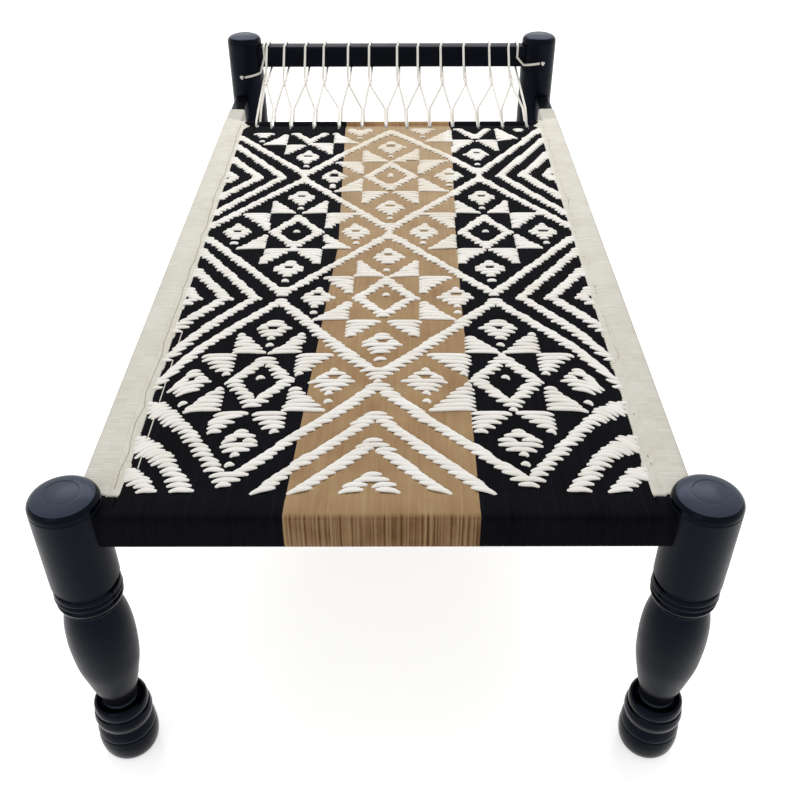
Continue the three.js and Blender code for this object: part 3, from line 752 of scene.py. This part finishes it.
def bar_between(name, section, ends, along_y, material):
    """A bar of one section between two ends, drawn along Y or along X."""
    count = len(section)
    vertices = []
    for end in ends:
        for across, up in section:
            vertices.append((end[0] + across, end[1], end[2] + up) if along_y
                            else (end[0], end[1] + across, end[2] + up))
    faces = [(k, (k + 1) % count, count + (k + 1) % count, count + k) for k in range(count)]
    if along_y:
        faces = [tuple(reversed(face)) for face in faces]
    first, second = tuple(range(count)), tuple(range(count, 2 * count))
    caps = [first, tuple(reversed(second))] if along_y else [tuple(reversed(first)), second]
    return mesh_object(name, vertices, faces + caps, material)


def add_rails(material):
    section = rounded_section(RAIL_WIDTH, RAIL_TOP - RAIL_BOTTOM, RAIL_ROUNDING, 6)
    head_section = rounded_section(HEAD_RAIL_WIDTH, HEAD_RAIL_TOP - HEAD_RAIL_BOTTOM,
                                   HEAD_RAIL_ROUNDING, 8)
    for side, word in SIDES:
        ends = [(side * side_rail_x(down), FOOT_Y + down, RAIL_MIDDLE) for down in SIDE_RAIL_ENDS]
        piece = bar_between(f"planed_side_rail_{word}", section, ends, True, material)
        finish_piece(piece, "lacquered_wood", f"side_rail_{word}")
    cross_rails = (("foot", section, FOOT_Y, RAIL_MIDDLE),
                   ("head", head_section, HEAD_Y, HEAD_RAIL_MIDDLE))
    for word, section, y, z in cross_rails:
        ends = [(side * CROSS_RAIL_END, y, z) for side, _ in SIDES]
        piece = bar_between(f"planed_{word}_rail", section, ends, False, material)
        finish_piece(piece, "lacquered_wood", f"{word}_rail")


# The pattern

def tan_edge(places, down):
    return np.interp(down, [p[0] for p in places], [p[1] for p in places])


def cord_place(x, down):
    """Where the warp cord at a place would lie in the middle of the bed."""
    edge, left, right = warp_edge(down), tan_edge(TAN_LEFT, down), tan_edge(TAN_RIGHT, down)
    middle_left, middle_right = TAN_LEFT[1][1], TAN_RIGHT[1][1]
    outer_left = middle_left + (x - left) * (MIDDLE_EDGE + middle_left) / (edge + left)
    outer_right = middle_right + (x - right) * (MIDDLE_EDGE - middle_right) / (edge - right)
    between = middle_left + (x - left) * (middle_right - middle_left) / (right - left)
    return np.where(x < left, outer_left, np.where(x > right, outer_right, between))


def lattice_place(x, down):
    """Columns and rows counted from the middle of the first row, as fractions."""
    across = cord_place(x, down)
    tilt = np.interp(down, (TILT_START, TILT_FULL), (0, ROW_TILT))
    row = np.interp(down - tilt * across / MIDDLE_EDGE, ROW_PLACES, ROW_COUNTS)
    counts = np.arange(len(COLUMN_PLACES)) - len(COLUMN_PLACES) // 2
    column = np.interp(across, COLUMN_PLACES, counts)
    first = np.interp(across, FIRST_ROW_COLUMNS, counts)
    return column + np.clip(1 - row, 0, 1) * (first - column), row


def within(value, shares):
    return np.any([(value > low) & (value < high) for low, high in shares], axis=0)


def star_figure(dx, dy):
    """White parts of a star cell, from the distances to its centre across the bed and along it."""
    ax, ay = np.abs(dx), np.abs(dy)
    narrow, low = ax < STAR_HALF[0], ay < STAR_HALF[1]
    centre = ax / STAR_HALF[0] + ay / STAR_HALF[1]
    ring_x = np.where(narrow, ax, ax - RING_PLACE[0])
    ring_y = np.where(low, dy, dy - np.sign(dy) * RING_PLACE[1])
    ring = np.abs(ring_x) / RING_HALF[0] + np.abs(ring_y) / RING_HALF[1]
    eye = (np.abs(ring_x) < EYE_HALF) & (np.abs(ring_y - EYE_LIFT) < PICK_HALF)
    bead = (np.abs(ring_x) < BEAD_HALF) & (np.abs(ring_y + BEAD_DROP) < PICK_HALF)
    dot = (ax < BEAD_HALF) & (np.abs(dy - PICK_HALF) < PICK_HALF)
    middle_part = ((centre < 1) & (centre > STAR_RING_CORE)) | dot
    arm = (ring > 1) | ((ring < RING_CORE) & ~eye) | bead
    return np.where(narrow & low, middle_part, (narrow | low) & arm)


def is_white(x, down):
    """Where the white weft lies over the warp."""
    x, down = np.broadcast_arrays(np.asarray(x, float), np.asarray(down, float))
    column, row = lattice_place(x, down)
    first, second = np.round((column + row) / 2), np.round((column - row) / 2)
    cell_column, cell_row = first + second, first - second
    dx, dy = column - cell_column, row - cell_row
    rho = np.abs(dx) + np.abs(dy)
    outline = np.abs(dx) + (np.abs(dy) - OUTLINE_PULL) / (1 - 2 * OUTLINE_PULL)
    band = np.abs(outline - 1) < OUTLINE_HALF
    star = np.zeros(x.shape, bool)
    for star_column, star_row in STAR_CELLS:
        star |= (cell_column == star_column) & (cell_row == star_row)
    nested = within(rho, NESTED_SHARES)
    nested = np.where((cell_row == 0) & (cell_column == 0), within(rho, FIRST_TAN_SHARES), nested)
    nested = np.where((cell_row == 0) & (cell_column != 0), within(rho, FIRST_SIDE_SHARES), nested)
    white = band | ((outline < 1) & np.where(star, star_figure(dx, dy), nested))
    return white & ~((x < tan_edge(TAN_LEFT, down)) & (down > LEFT_WEAVE_END))


# Warp

def rod_places():
    return np.array(ROD_PLACE_SHARES) * warp_edge(ROD_DOWN)


def parted(x, amount):
    """Places of cords at the rod, pushed aside where the lacing goes between them."""
    away = x[:, None] - rod_places()[None, :]
    push = np.sign(away) * np.exp(-np.abs(away) / PART_WIDTH) * PART_PUSH
    return x + amount * push.sum(1)


def corner_points(centre, radius, turns):
    angles = np.radians(turns)
    return [(centre[0] + radius * math.cos(a), centre[1] + radius * math.sin(a)) for a in angles]


def hook_points():
    """The stretch from under the bed, down behind the foot rail, round it and over its top."""
    half_width = RAIL_WIDTH / 2 + CORD_GAP + WARP_HEIGHT / 2
    top = RAIL_TOP + CORD_GAP + WARP_HEIGHT / 2
    bottom = RAIL_BOTTOM - CORD_GAP - WARP_HEIGHT / 2
    rounding = RAIL_ROUNDING + WARP_HEIGHT / 2
    under = WARP_LEVEL - WARP_HEIGHT
    inward = half_width - rounding
    corner = np.array((22.5, 45, 67.5, 90))
    points = [(half_width + 34, under), (half_width + 8, under - 1), (half_width, under - 6)]
    straight = np.linspace(under - 6, bottom + rounding, 5)
    points += [(half_width, z) for z in straight[1:]]
    points += corner_points((inward, bottom + rounding), rounding, -corner)
    points += corner_points((-inward, bottom + rounding), rounding, -90 - corner)
    straight = np.linspace(bottom + rounding, top - rounding, 7)
    points += [(-half_width, z) for z in straight[1:]]
    points += corner_points((-inward, top - rounding), rounding, 180 - corner)
    points += [(-4, top), (10, top - 0.3), (19, top - 1.0)]
    return np.array(points)


def loop_points():
    """The stretch round the rod: up its near side, over it, behind, under, and once more inside."""
    outer = ROD_LOOP_RADIUS - WARP_HEIGHT / 2
    inner = ROD_RADIUS + 0.3 + WARP_HEIGHT / 2
    turned = np.arange(0, ROD_LOOP_TURN + 1, ROD_LOOP_STEP)
    angles = np.radians(ROD_LOOP_START - turned)
    radii = np.interp(turned, ROD_LOOP_NARROWS, (outer, inner))
    return np.column_stack([ROD_DOWN + radii * np.cos(angles), ROD_Z + radii * np.sin(angles)])


def band_edge(places, down):
    """An edge of a band: the bed's left or right edge of warp, or an edge of the tan band."""
    if places == "left":
        return -warp_edge(down)
    if places == "right":
        return warp_edge(down)
    return tan_edge(places, down)


def warp_routes(left_places, right_places, count, wobble):
    """Routes of one band's cords, side by side from the foot rail to the rod."""
    hook, loop = hook_points(), loop_points()
    woven = np.arange(WEAVE_START, WEAVE_END, PICK_SPACING / 2)
    open_end = np.linspace(WEAVE_END, loop[0, 0], 5)[1:-1]
    dip = (open_end - WEAVE_END) / (loop[0, 0] - WEAVE_END)
    downs = np.concatenate([hook[:, 0], woven, open_end, loop[:, 0]])
    in_hook = np.arange(len(downs)) < len(hook)
    in_loop = np.arange(len(downs)) >= len(downs) - len(loop)
    part = np.where(in_loop, 1, np.interp(downs, PART_PLACES, (0, 1)))
    place = np.clip(downs, 0, ROD_DOWN)
    left, right = band_edge(left_places, place), band_edge(right_places, place)
    shares = (np.arange(count) + 0.5) / count
    across = left[None, :] + shares[:, None] * (right - left)[None, :]
    for k in np.flatnonzero(part):
        across[:, k] = parted(across[:, k], part[k])
    girth = np.where(in_loop, 0.9, 1.0)
    routes = []
    for i in range(count):
        x = across[i]
        raised = WARP_LEVEL + np.where(bowed_white(x, downs), -WARP_WAVE, WARP_WAVE)
        heights = np.concatenate([
            hook[:, 1], raised[len(hook):len(hook) + len(woven)],
            WARP_LEVEL + dip * (loop[0, 1] - WARP_LEVEL), loop[:, 1],
        ])
        sway = np.sin(hook[:, 1] / 7 + i * 2.4) + random.normal(0, 0.5, len(hook))
        x[in_hook] += wobble * sway
        places = FOOT_Y + downs
        places[in_hook & (downs < -RAIL_WIDTH / 2)] += wobble * random.uniform(0, STREAK_DEPTH)
        routes.append(route_of(x, places, heights, girth))
    return routes


def add_warp(black, tan):
    bands = (
        ("left", "left", TAN_LEFT, CORDS_LEFT, black, "black_cotton", BLACK_LAY),
        ("middle", TAN_LEFT, TAN_RIGHT, CORDS_MIDDLE, tan, "tan_cotton", TAN_LAY),
        ("right", TAN_RIGHT, "right", CORDS_RIGHT, black, "black_cotton", BLACK_LAY),
    )
    for word, left, right, count, material, slot, (overlap, wobble) in bands:
        width = (band_edge(right, BED_MIDDLE) - band_edge(left, BED_MIDDLE)) / count * overlap
        routes = warp_routes(left, right, count, wobble)
        half = (count + 1) // 2
        for part, cords in (("outer", routes[:half]), ("inner", routes[half:])):
            swept(f"warp_cords_{word}_{part}", cords, width, WARP_HEIGHT, 6, material, slot,
                  f"warp_band_{word}")


# Weft

def bow(x, down):
    """How far a pick hangs towards the foot at its ends, near the foot end's corners."""
    outward = np.clip((np.abs(x) - warp_edge(0) + CORNER_BOW_WIDTH) / CORNER_BOW_WIDTH, 0, 1)
    return CORNER_BOW * outward ** 2 * np.interp(down, CORNER_BOW_PLACES, (0, 1, 1, 0))


def bowed_white(x, down):
    return is_white(x, down + bow(x, down))


def float_runs(down):
    """The left and right ends of the white floats of one pick."""
    edge = warp_edge(down)
    marks = np.linspace(-edge, edge, GROUP_COUNT + 1)
    over = is_white((marks[1:] + marks[:-1]) / 2, down).astype(int)
    changes = np.flatnonzero(np.diff(np.concatenate([[0], over, [0]])))
    return [(marks[a], marks[b]) for a, b in zip(changes[::2], changes[1::2]) if b - a > 1]


def float_tilt(left, right, runs_above):
    """How far a float's right end stands up the bed: it leans the way its band of floats goes."""
    middle_x = (left + right) / 2
    above = [(a + b) / 2 for a, b in runs_above if a < right and b > left]
    if len(above) != 1:
        return 0
    drift = above[0] - middle_x
    if abs(drift) > BAND_DRIFTS[2]:
        return 0
    lean = math.copysign(np.interp(abs(drift), BAND_DRIFTS[:2], (0, 1)), drift)
    return lean * min(FLOAT_TILT * (right - left) / 2, LONGEST_TILT)


def tip_droop(x, left, right, down):
    """How far a float's outer tip hangs towards the foot, in the near part of the bed."""
    from_tip = right - x if left + right > 0 else x - left
    share = min(max(1 - from_tip / min(DROOP_LENGTH, (right - left) / 2), 0), 1.2)
    return TIP_DROOP * share ** 2 * np.interp(down, NEAR_PART, (1, 0))


def float_points(run, down, runs_above):
    """The points of the float over one run: X, how far up the bed, the height and the girth."""
    at_left, at_right = run[0] < 1 - warp_edge(down), run[1] > warp_edge(down) - 1
    tip_length = np.interp(down, NEAR_PART, TIP_LENGTHS)
    tip_length *= np.interp(run[1] - run[0], NARROW_FLOATS, (0, 1))
    left = run[0] - (EDGE_REACH if at_left else tip_length)
    right = run[1] + (EDGE_REACH if at_right else tip_length)
    half = (right - left) / 2
    reach = min(1, half / FULL_TIP)
    stretch = []
    for end, inward, at_edge in ((left, 1, at_left), (right, -1, at_right)):
        for ahead, z, girth in EDGE_TIP if at_edge else TIP:
            stretch.append((end + inward * (ahead * reach if ahead > 0 else ahead), z, girth))
    for share in np.linspace(0, 1, max(2, int(2 * half / FLOAT_STEP)) + 1)[1:-1]:
        if min(share, 1 - share) * 2 * half > FULL_TIP:
            stretch.append((left + share * 2 * half, OVER_LEVEL, 1.0))
    tilt = float_tilt(*run, runs_above)
    return [(x, tilt * np.clip((x - left - half) / half, -1, 1) - tip_droop(x, left, right, down),
             z, girth) for x, z, girth in stretch]


def weft_route(down):
    """One pick from edge to edge: over the warp in its floats and under it between them."""
    edge = warp_edge(down)
    runs, runs_above = float_runs(down), float_runs(down + PICK_SPACING)
    gaps = [(a[1] + b[0]) / 2 for a, b in zip(runs, runs[1:])]
    points = [(x, 0, UNDER_LEVEL + 1.5, UNDER_GIRTH) for x in gaps]
    for run, low, high in zip(runs, [-math.inf] + gaps, gaps + [math.inf]):
        points += [point for point in float_points(run, down, runs_above)
                   if low + 1.5 < point[0] < high - 1.5]
    ends = [(side * (edge + 3), 0, UNDER_LEVEL + 1, 0.5) for side, _ in SIDES]
    xs = [point[0] for point in points]
    points += [end for end in ends if not any(abs(x - end[0]) < 6 for x in xs)]
    points.sort()
    pulled = np.interp(down, NEAR_PART, NEAR_GIRTHS)
    blunt = np.interp(down, NEAR_PART, FAR_BLUNTNESS)
    route = np.array([(x, FOOT_Y + down + up, z, (girth + blunt * (1 - girth)) * pulled)
                      for x, up, z, girth in points])
    slack = random.normal(0, PICK_SLACK, len(SLACK_PLACES))
    route[:, 1] += np.interp(route[:, 0], SLACK_PLACES, slack) - bow(route[:, 0], down)
    return route


def add_weft(material):
    picks = np.arange(WEAVE_START + PICK_SPACING / 2, WEAVE_END, PICK_SPACING)
    routes = [weft_route(down) for down in picks]
    third = len(routes) // 3 + 1
    for k, word in enumerate(("foot", "middle", "head")):
        swept(f"weft_picks_{word}", routes[k * third:(k + 1) * third], WEFT_WIDTH, WEFT_HEIGHT, 10,
              material, "white_cord", "weft_wrap_left", "weft_wrap_right", level=True)


def edge_cord_route(side):
    """The thin cord that runs along the warp near its edge. Floats cross it, and it goes down
    between the warp's cords where the near part of the bed ends."""
    downs = np.arange(*EDGE_CORD_ENDS, PICK_SPACING / 2)
    xs = side * (warp_edge(downs) - EDGE_CORD_INSET)
    on_top = WARP_LEVEL + WARP_WAVE + WARP_HEIGHT / 2 + EDGE_CORD * 0.1
    heights = np.where(bowed_white(xs, downs), WARP_LEVEL, on_top)
    heights[[0, -1]] = WARP_LEVEL - WARP_HEIGHT
    return route_of(xs, FOOT_Y + downs, heights)


def strip_routes(side):
    """The weft between a side rail and the warp's edge, two cords to each pick."""
    routes = []
    for down in np.arange(*STRIP_ENDS, WRAP_PITCH):
        edge = warp_edge(down)
        marks = np.array((
            (edge + WEFT_STRIP + 5, RAIL_TOP - 0.4), (edge + WEFT_STRIP + 1, RAIL_TOP + 0.5),
            (edge + WEFT_STRIP - 4, RAIL_TOP + 1.1), (edge + 3, WARP_LEVEL + 1.5),
            (edge - 1, WARP_LEVEL), (edge - 5, WARP_LEVEL - 2.6), (edge - 11, WARP_LEVEL - 4.2),
        ))
        hang = bow(edge, down) * np.array(STRIP_HANG)
        places = FOOT_Y + down - hang + random.normal(0, 0.25)
        routes.append(route_of(side * marks[:, 0], places, marks[:, 1]))
    return routes


def seam_route(side):
    """The thread along the seam between a side wrap and the strip. It is drawn in, and shows as a
    fine line on the left and as dots on the right. Its darker colour is painted shade, standing for
    the shadow line along the seam."""
    downs = np.arange(*SEAM_ENDS, 4)
    drawn = np.interp(downs, downs[::9], random.normal(0, 1, len(downs[::9])))
    xs = side * (warp_edge(downs) + WEFT_STRIP - SEAM_INSET + SEAM_WANDER * drawn)
    on_top = RAIL_TOP + 1.1 + WRAP_THICKNESS / 2
    depth = 0.15 * drawn
    if side > 0:
        depth = 0.9 - np.clip(random.normal(0, 1, len(downs)) - 1.1, 0, 1) * 2
    return route_of(xs, FOOT_Y + downs, on_top - depth)


def add_edges(cream, thread):
    for side, word in SIDES:
        swept(f"weft_strip_{word}", strip_routes(side), WRAP_WIDTH, WRAP_THICKNESS, 8, cream,
              "cream_cotton", f"weft_wrap_{word}")
        swept(f"seam_thread_{word}", [seam_route(side)], SEAM_THREAD, SEAM_THREAD, 6, thread,
              "cream_cotton", f"weft_wrap_{word}")
    swept("edge_cord", [edge_cord_route(-1)], EDGE_CORD, EDGE_CORD, 8, cream, "cream_cotton",
          "warp_band_left")


# Turns round the rails

def one_turn(thickness, play, corner):
    """A turn round a rail, from the middle of its top, and where on it the cord moves on to the
    next turn's place: after the corner given, on a face that is not seen."""
    section = rounded_section(RAIL_WIDTH + thickness + play,
                              RAIL_TOP - RAIL_BOTTOM + thickness + play,
                              RAIL_ROUNDING + thickness / 2, 4)
    quarter = len(section) // 4
    top = (0, section[quarter, 1])
    ring = np.vstack([top, section[quarter:], section[:quarter], top])
    return ring, np.where(np.arange(len(ring)) > corner * quarter, 1, 0)


def side_turns(side, start, end, pitch, thickness, slack):
    """A cord wound round a side rail, one route for each turn."""
    ring, moved = one_turn(thickness, SIDE_PLAY, 1)
    starts = np.arange(start, end - pitch / 2, pitch)
    starts = starts + random.normal(0, slack, len(starts))
    routes = []
    for near, far in zip(starts, starts[1:]):
        downs = near + moved * (far - near)
        xs = side * (side_rail_x(downs) + ring[:, 0])
        routes.append(route_of(xs, FOOT_Y + downs, RAIL_MIDDLE + ring[:, 1]))
    return routes


def foot_turns(side, start, end, pitch, thickness):
    """A cord wound round the foot rail beside a leg, one route for each turn."""
    ring, moved = one_turn(thickness, FOOT_PLAY, 3)
    ys, heights = FOOT_Y + ring[:, 0], RAIL_MIDDLE + ring[:, 1]
    return [route_of(side * (near + moved * pitch), ys, heights)
            for near in np.arange(start, end - pitch, pitch)]


def add_turns(cream, binding, black):
    thickness = WRAP_THICKNESS - 0.3
    for side, word in SIDES:
        routes = side_turns(side, WEAVE_START, SIDE_WRAP_END, WRAP_PITCH, thickness, WRAP_SLACK)
        swept(f"side_wrap_{word}", routes, WRAP_WIDTH, thickness, 10, cream, "cream_cotton",
              f"weft_wrap_{word}")
        routes = side_turns(side, SIDE_WRAP_END, END_WRAP_END, END_BINDING, END_BINDING,
                            BINDING_SLACK)
        swept(f"end_binding_{word}", routes, END_BINDING * 1.4, END_BINDING, 8, binding,
              "cream_cotton", f"end_wrap_{word}")
        routes = foot_turns(side, warp_edge(0) + 2, LEG_X - 20, FOOT_WRAP_PITCH, WARP_HEIGHT)
        swept(f"foot_wrap_{word}", routes, FOOT_WRAP_WIDTH, WARP_HEIGHT, 8, black, "black_cotton",
              f"foot_rail_wrap_{word}")


# Rod and lacing

def add_rod(material):
    route = route_of(np.linspace(-ROD_END, ROD_END, 9), ROD_Y, ROD_Z)
    rod = swept("round_tension_rod", [route], 2 * ROD_RADIUS, 2 * ROD_RADIUS, 32, material,
                "steel", "tension_rod")
    rod.data.set_sharp_from_angle(angle=SHARP_ANGLE)


def lace_point(x, share):
    """A point of the lacing's plane, a share of the way from the rod to the head rail."""
    return np.array([x, ROD_Y + share * LACE_RUN, ROD_Z + share * LACE_RISE])


def tangent_angle(point, y, z, radius, turn):
    """Where a straight cord from a point meets a circle, on the side given by turn."""
    away = math.hypot(point[1] - y, point[2] - z)
    return math.atan2(point[2] - z, point[1] - y) + turn * math.acos(radius / away)


def arc(y, z, radius, start, end, from_x, to_x, steps):
    """Points round an axis along X, which move from one X to another on the way."""
    shares = np.linspace(0, 1, steps + 1)
    angles = start + (end - start) * shares
    return list(np.column_stack([from_x + (to_x - from_x) * shares, y + radius * np.cos(angles),
                                 z + radius * np.sin(angles)]))


def rod_turn(x):
    """The half turn round the rod, over it first."""
    first = lace_point(x - LACE_SPACING / 2, PART_SHARE)
    last = lace_point(x + LACE_SPACING / 2, PART_SHARE)
    over = tangent_angle(first, ROD_Y, ROD_Z, LACE_TURN_RADIUS, 1)
    below = tangent_angle(last, ROD_Y, ROD_Z, LACE_TURN_RADIUS, -1) + 2 * math.pi
    return [first, *arc(ROD_Y, ROD_Z, LACE_TURN_RADIUS, over, below, first[0], last[0],
                        ROD_TURN_STEPS), last]


def crossing(x, rising):
    """Half a twist of two cords about each other."""
    span = TWIST_LENGTH / math.hypot(LACE_RUN, LACE_RISE)
    rise = math.atan2(LACE_RISE, LACE_RUN)
    points = []
    for i in range(TWIST_STEPS + 1):
        share = i / TWIST_STEPS if rising else 1 - i / TWIST_STEPS
        angle = math.pi * (share + (1 if rising else 0))
        point = lace_point(x + LACE_SPACING / 2 * math.cos(angle),
                           CROSS_SHARE + span * (share - 0.5))
        lift = LACE_SPACING / 2 * math.sin(angle)
        points.append(point + np.array([0, -lift * math.sin(rise), lift * math.cos(rise)]))
    return points


def rail_turn(first_point, last_point, down_the_front):
    """A turn round the head rail that rises behind it and comes down in front."""
    radius = HEAD_RAIL_ROUNDING + LACE_GAP + LACE_DIAMETER / 2
    front = HEAD_Y - HEAD_RAIL_WIDTH / 2 + HEAD_RAIL_ROUNDING
    back = HEAD_Y + HEAD_RAIL_WIDTH / 2 - HEAD_RAIL_ROUNDING
    top = HEAD_RAIL_TOP - HEAD_RAIL_ROUNDING
    bottom = HEAD_RAIL_BOTTOM + HEAD_RAIL_ROUNDING
    start = tangent_angle(first_point, back, bottom, radius, 1)
    end = math.pi if down_the_front else tangent_angle(last_point, front, top, radius, -1)
    start = (start + math.pi) % (2 * math.pi) - math.pi
    end = end % (2 * math.pi)
    xs = np.linspace(first_point[0], last_point[0], 4)
    return [
        *arc(back, bottom, radius, start, 0, xs[0], xs[1], CORNER_STEPS),
        *arc(back, top, radius, 0, math.pi / 2, xs[1], xs[2], CORNER_STEPS),
        *arc(front, top, radius, math.pi / 2, end, xs[2], xs[3], CORNER_STEPS),
    ]


def beside_post(side, away, turn, share):
    """A point at a distance from a head post's axis, at an angle from the line between the posts,
    and as high as the loose end lies at that share of its way round the post to its knot."""
    height = HEAD_RAIL_BOTTOM - TAIL_DROP[side] - TAIL_FALL[side] * share
    return np.array([side * (LEG_X - away * math.cos(turn)), HEAD_Y - away * math.sin(turn),
                     height])


def tail(side, x):
    """A loose end: down the front of the head rail, then round the post to its knot."""
    radius = POST_RADIUS + LACE_GAP + LACE_DIAMETER / 2
    face_y = HEAD_Y - HEAD_RAIL_WIDTH / 2 - LACE_GAP - LACE_DIAMETER / 2
    points = [np.array([x, face_y, HEAD_RAIL_MIDDLE])]
    for share in np.linspace(0, 1, 11):
        turn = math.radians(TAIL_ANGLE + (90 - TAIL_ANGLE) * share)
        points.append(beside_post(side, radius, turn, share))
    return points


def lace_end(side, x):
    """An end of the lacing, from its last turn round the head rail to its knot."""
    part = lace_point(x, PART_SHARE)
    return [*rail_turn(part, part, True), *tail(side, x)]


def lace_route():
    """The whole lacing, from the left knot to the right one."""
    span = LEG_X - POST_RADIUS
    rods = rod_places()
    route = lace_end(-1, FIRST_RAIL_SHARE * span)[::-1]
    route += rod_turn(rods[0])
    for share, rod_x in zip(RAIL_PLACE_SHARES, rods[1:]):
        rising, falling = crossing(share * span, True), crossing(share * span, False)
        route += [*rising, *rail_turn(rising[-1], falling[0], False), *falling, *rod_turn(rod_x)]
    route += lace_end(1, LAST_RAIL_SHARE * span)
    return np.array(route)


def even(points, step):
    """The same route with its points a step apart."""
    lengths = np.concatenate([[0], np.cumsum(np.linalg.norm(np.diff(points, axis=0), axis=1))])
    keep = np.concatenate([[True], np.diff(lengths) > 1e-6])
    places = np.linspace(0, lengths[-1], int(lengths[-1] / step) + 1)
    return np.column_stack([np.interp(places, lengths[keep], points[keep][:, k]) for k in range(3)])


def knot_points(side):
    """An overhand knot: a trefoil drawn tight against the post."""
    away = POST_RADIUS + 0.3 + KNOT_RADIUS
    past = math.pi / 2 + (KNOT_RADIUS + LACE_DIAMETER / 2) / away
    t = np.linspace(0, 2 * math.pi, 73)
    curve = np.column_stack([np.sin(t) + 2 * np.sin(2 * t), np.sin(3 * t),
                             np.cos(t) - 2 * np.cos(2 * t)])
    return beside_post(side, away, past, 1) + curve * KNOT_SCALE


def add_lacing(material):
    route = route_of(*even(lace_route(), LACE_STEP).T)
    swept("lacing", [route], LACE_DIAMETER, LACE_DIAMETER, 12, material, "white_cord",
          "lacing_cord")
    for side, word in SIDES:
        swept(f"tail_knot_{word}", [route_of(*knot_points(side).T)], KNOT_CORD, KNOT_CORD, 12,
              material, "white_cord", f"lacing_knot_{word}")


# Floor, world and lights

FLOOR_HALF = 14
WHITE = linear("#ffffff")

# Each light's name, place, aim, size in metres and power in watts
LIGHTS = (
    ("overhead", (0, 2.0, 3.1), (0, 0, 0.5), (4.2, 1.6), 77),
    ("front", (-1.4, -2.8, 2.0), (0, -0.4, 0.4), (1.4, 1.4), 5),
)


def seen_rays(tree):
    """1 for the camera's rays and for those in a reflection or through glass."""
    path = add(tree, "ShaderNodeLightPath").outputs
    seen = path["Is Camera Ray"]
    for kind in ("Is Glossy Ray", "Is Transmission Ray"):
        seen = add(tree, "ShaderNodeMath", {0: seen, 1: path[kind]}, operation="MAXIMUM")
    return seen


def add_floor():
    """A plain white floor. To the camera and in reflections it glows a little, so that it is as
    white as the background and keeps the bed's shadow."""
    mesh = bpy.data.meshes.new("floor")
    corners = ((-1, -1), (1, -1), (1, 1), (-1, 1))
    mesh.from_pydata([(x * FLOOR_HALF, y * FLOOR_HALF, 0) for x, y in corners], [], [(0, 1, 2, 3)])
    floor = new_object("floor", mesh)
    material, tree = new_material("pale_floor")
    plain = add(tree, "ShaderNodeBsdfPrincipled", {
        "Base Color": linear("#f6f6f6"), "Roughness": 0.9, "Specular IOR Level": 0.1,
    })
    glow = add(tree, "ShaderNodeEmission", {"Color": WHITE, "Strength": 0.6})
    lit = add(tree, "ShaderNodeAddShader", {0: plain, 1: glow})
    mixed = add(tree, "ShaderNodeMixShader", {0: seen_rays(tree), 1: plain, 2: lit})
    add(tree, "ShaderNodeOutputMaterial", {"Surface": mixed})
    mesh.materials.append(material)


def add_world():
    """White as the camera sees it, and softer as a light."""
    world = bpy.data.worlds.new("studio")
    bpy.context.scene.world = world
    world.use_nodes = True
    tree = world.node_tree
    tree.nodes.clear()
    soft = add(tree, "ShaderNodeBackground", {"Color": WHITE, "Strength": 0.58})
    white = add(tree, "ShaderNodeBackground", {"Color": WHITE, "Strength": 1.0})
    mixed = add(tree, "ShaderNodeMixShader", {0: seen_rays(tree), 1: soft, 2: white})
    add(tree, "ShaderNodeOutputWorld", {"Surface": mixed})


def add_light(name, place, aim, size, power):
    data = bpy.data.lights.new(name, "AREA")
    data.shape = "RECTANGLE"
    data.size, data.size_y = size
    data.energy = power
    light = new_object(name, data)
    light.location = place
    light.rotation_euler = (Vector(aim) - Vector(place)).to_track_quat("-Z", "Y").to_euler()


CORD_TREE = cord_tree()
add_camera()

# A cotton has its light and dark shades, then how far apart along the cord its plies come and how
# deep the groove between them is. That depth also sets how much darker the groove is painted as its
# shade
lacquer = black_lacquer()
cream = cotton("cream_cotton_cord", "#e2dfd4", "#d4d0c3", 6, 0.15)
# The seam thread is painted darker, as the shadow line along the seam
thread = cotton("seam_thread_with_painted_shadow", "#bdb7a5", "#9b9583", 3, 0.2)
binding = cotton("fine_cotton_binding", "#dad8ce", "#c8c5b9", 3, 0.3)
white = cotton("white_cotton_roving", "#fbf8f3", "#efebe2", 14, 0.2, head_end_colour="#d2bd98",
               over_tan=True)
black = cotton("dyed_black_cotton_cord", "#0f1016", "#060609", 5, 0.3, 0.06, 0.0)
# The tan's darkest colour is the painted shade down the foot rail's front and at the rod
tan = cotton("natural_tan_cotton_cord", "#b39670", "#967653", 5, 0.2, dark_streak_and_shade="#674729",
             head_end_colour="#bdac92")
lace_white = cotton("laid_white_cotton_cord", "#f8f5ee", "#e4dfd4", 8, 0.9)
steel = bright_steel()

add_lacing(lace_white)
add_legs(lacquer)
add_rails(lacquer)
add_warp(black, tan)
add_weft(white)
add_edges(cream, thread)
add_turns(cream, binding, black)
add_rod(steel)

add_floor()
add_world()
for light in LIGHTS:
    add_light(*light)
bpy.context.scene.view_settings.view_transform = "Standard"
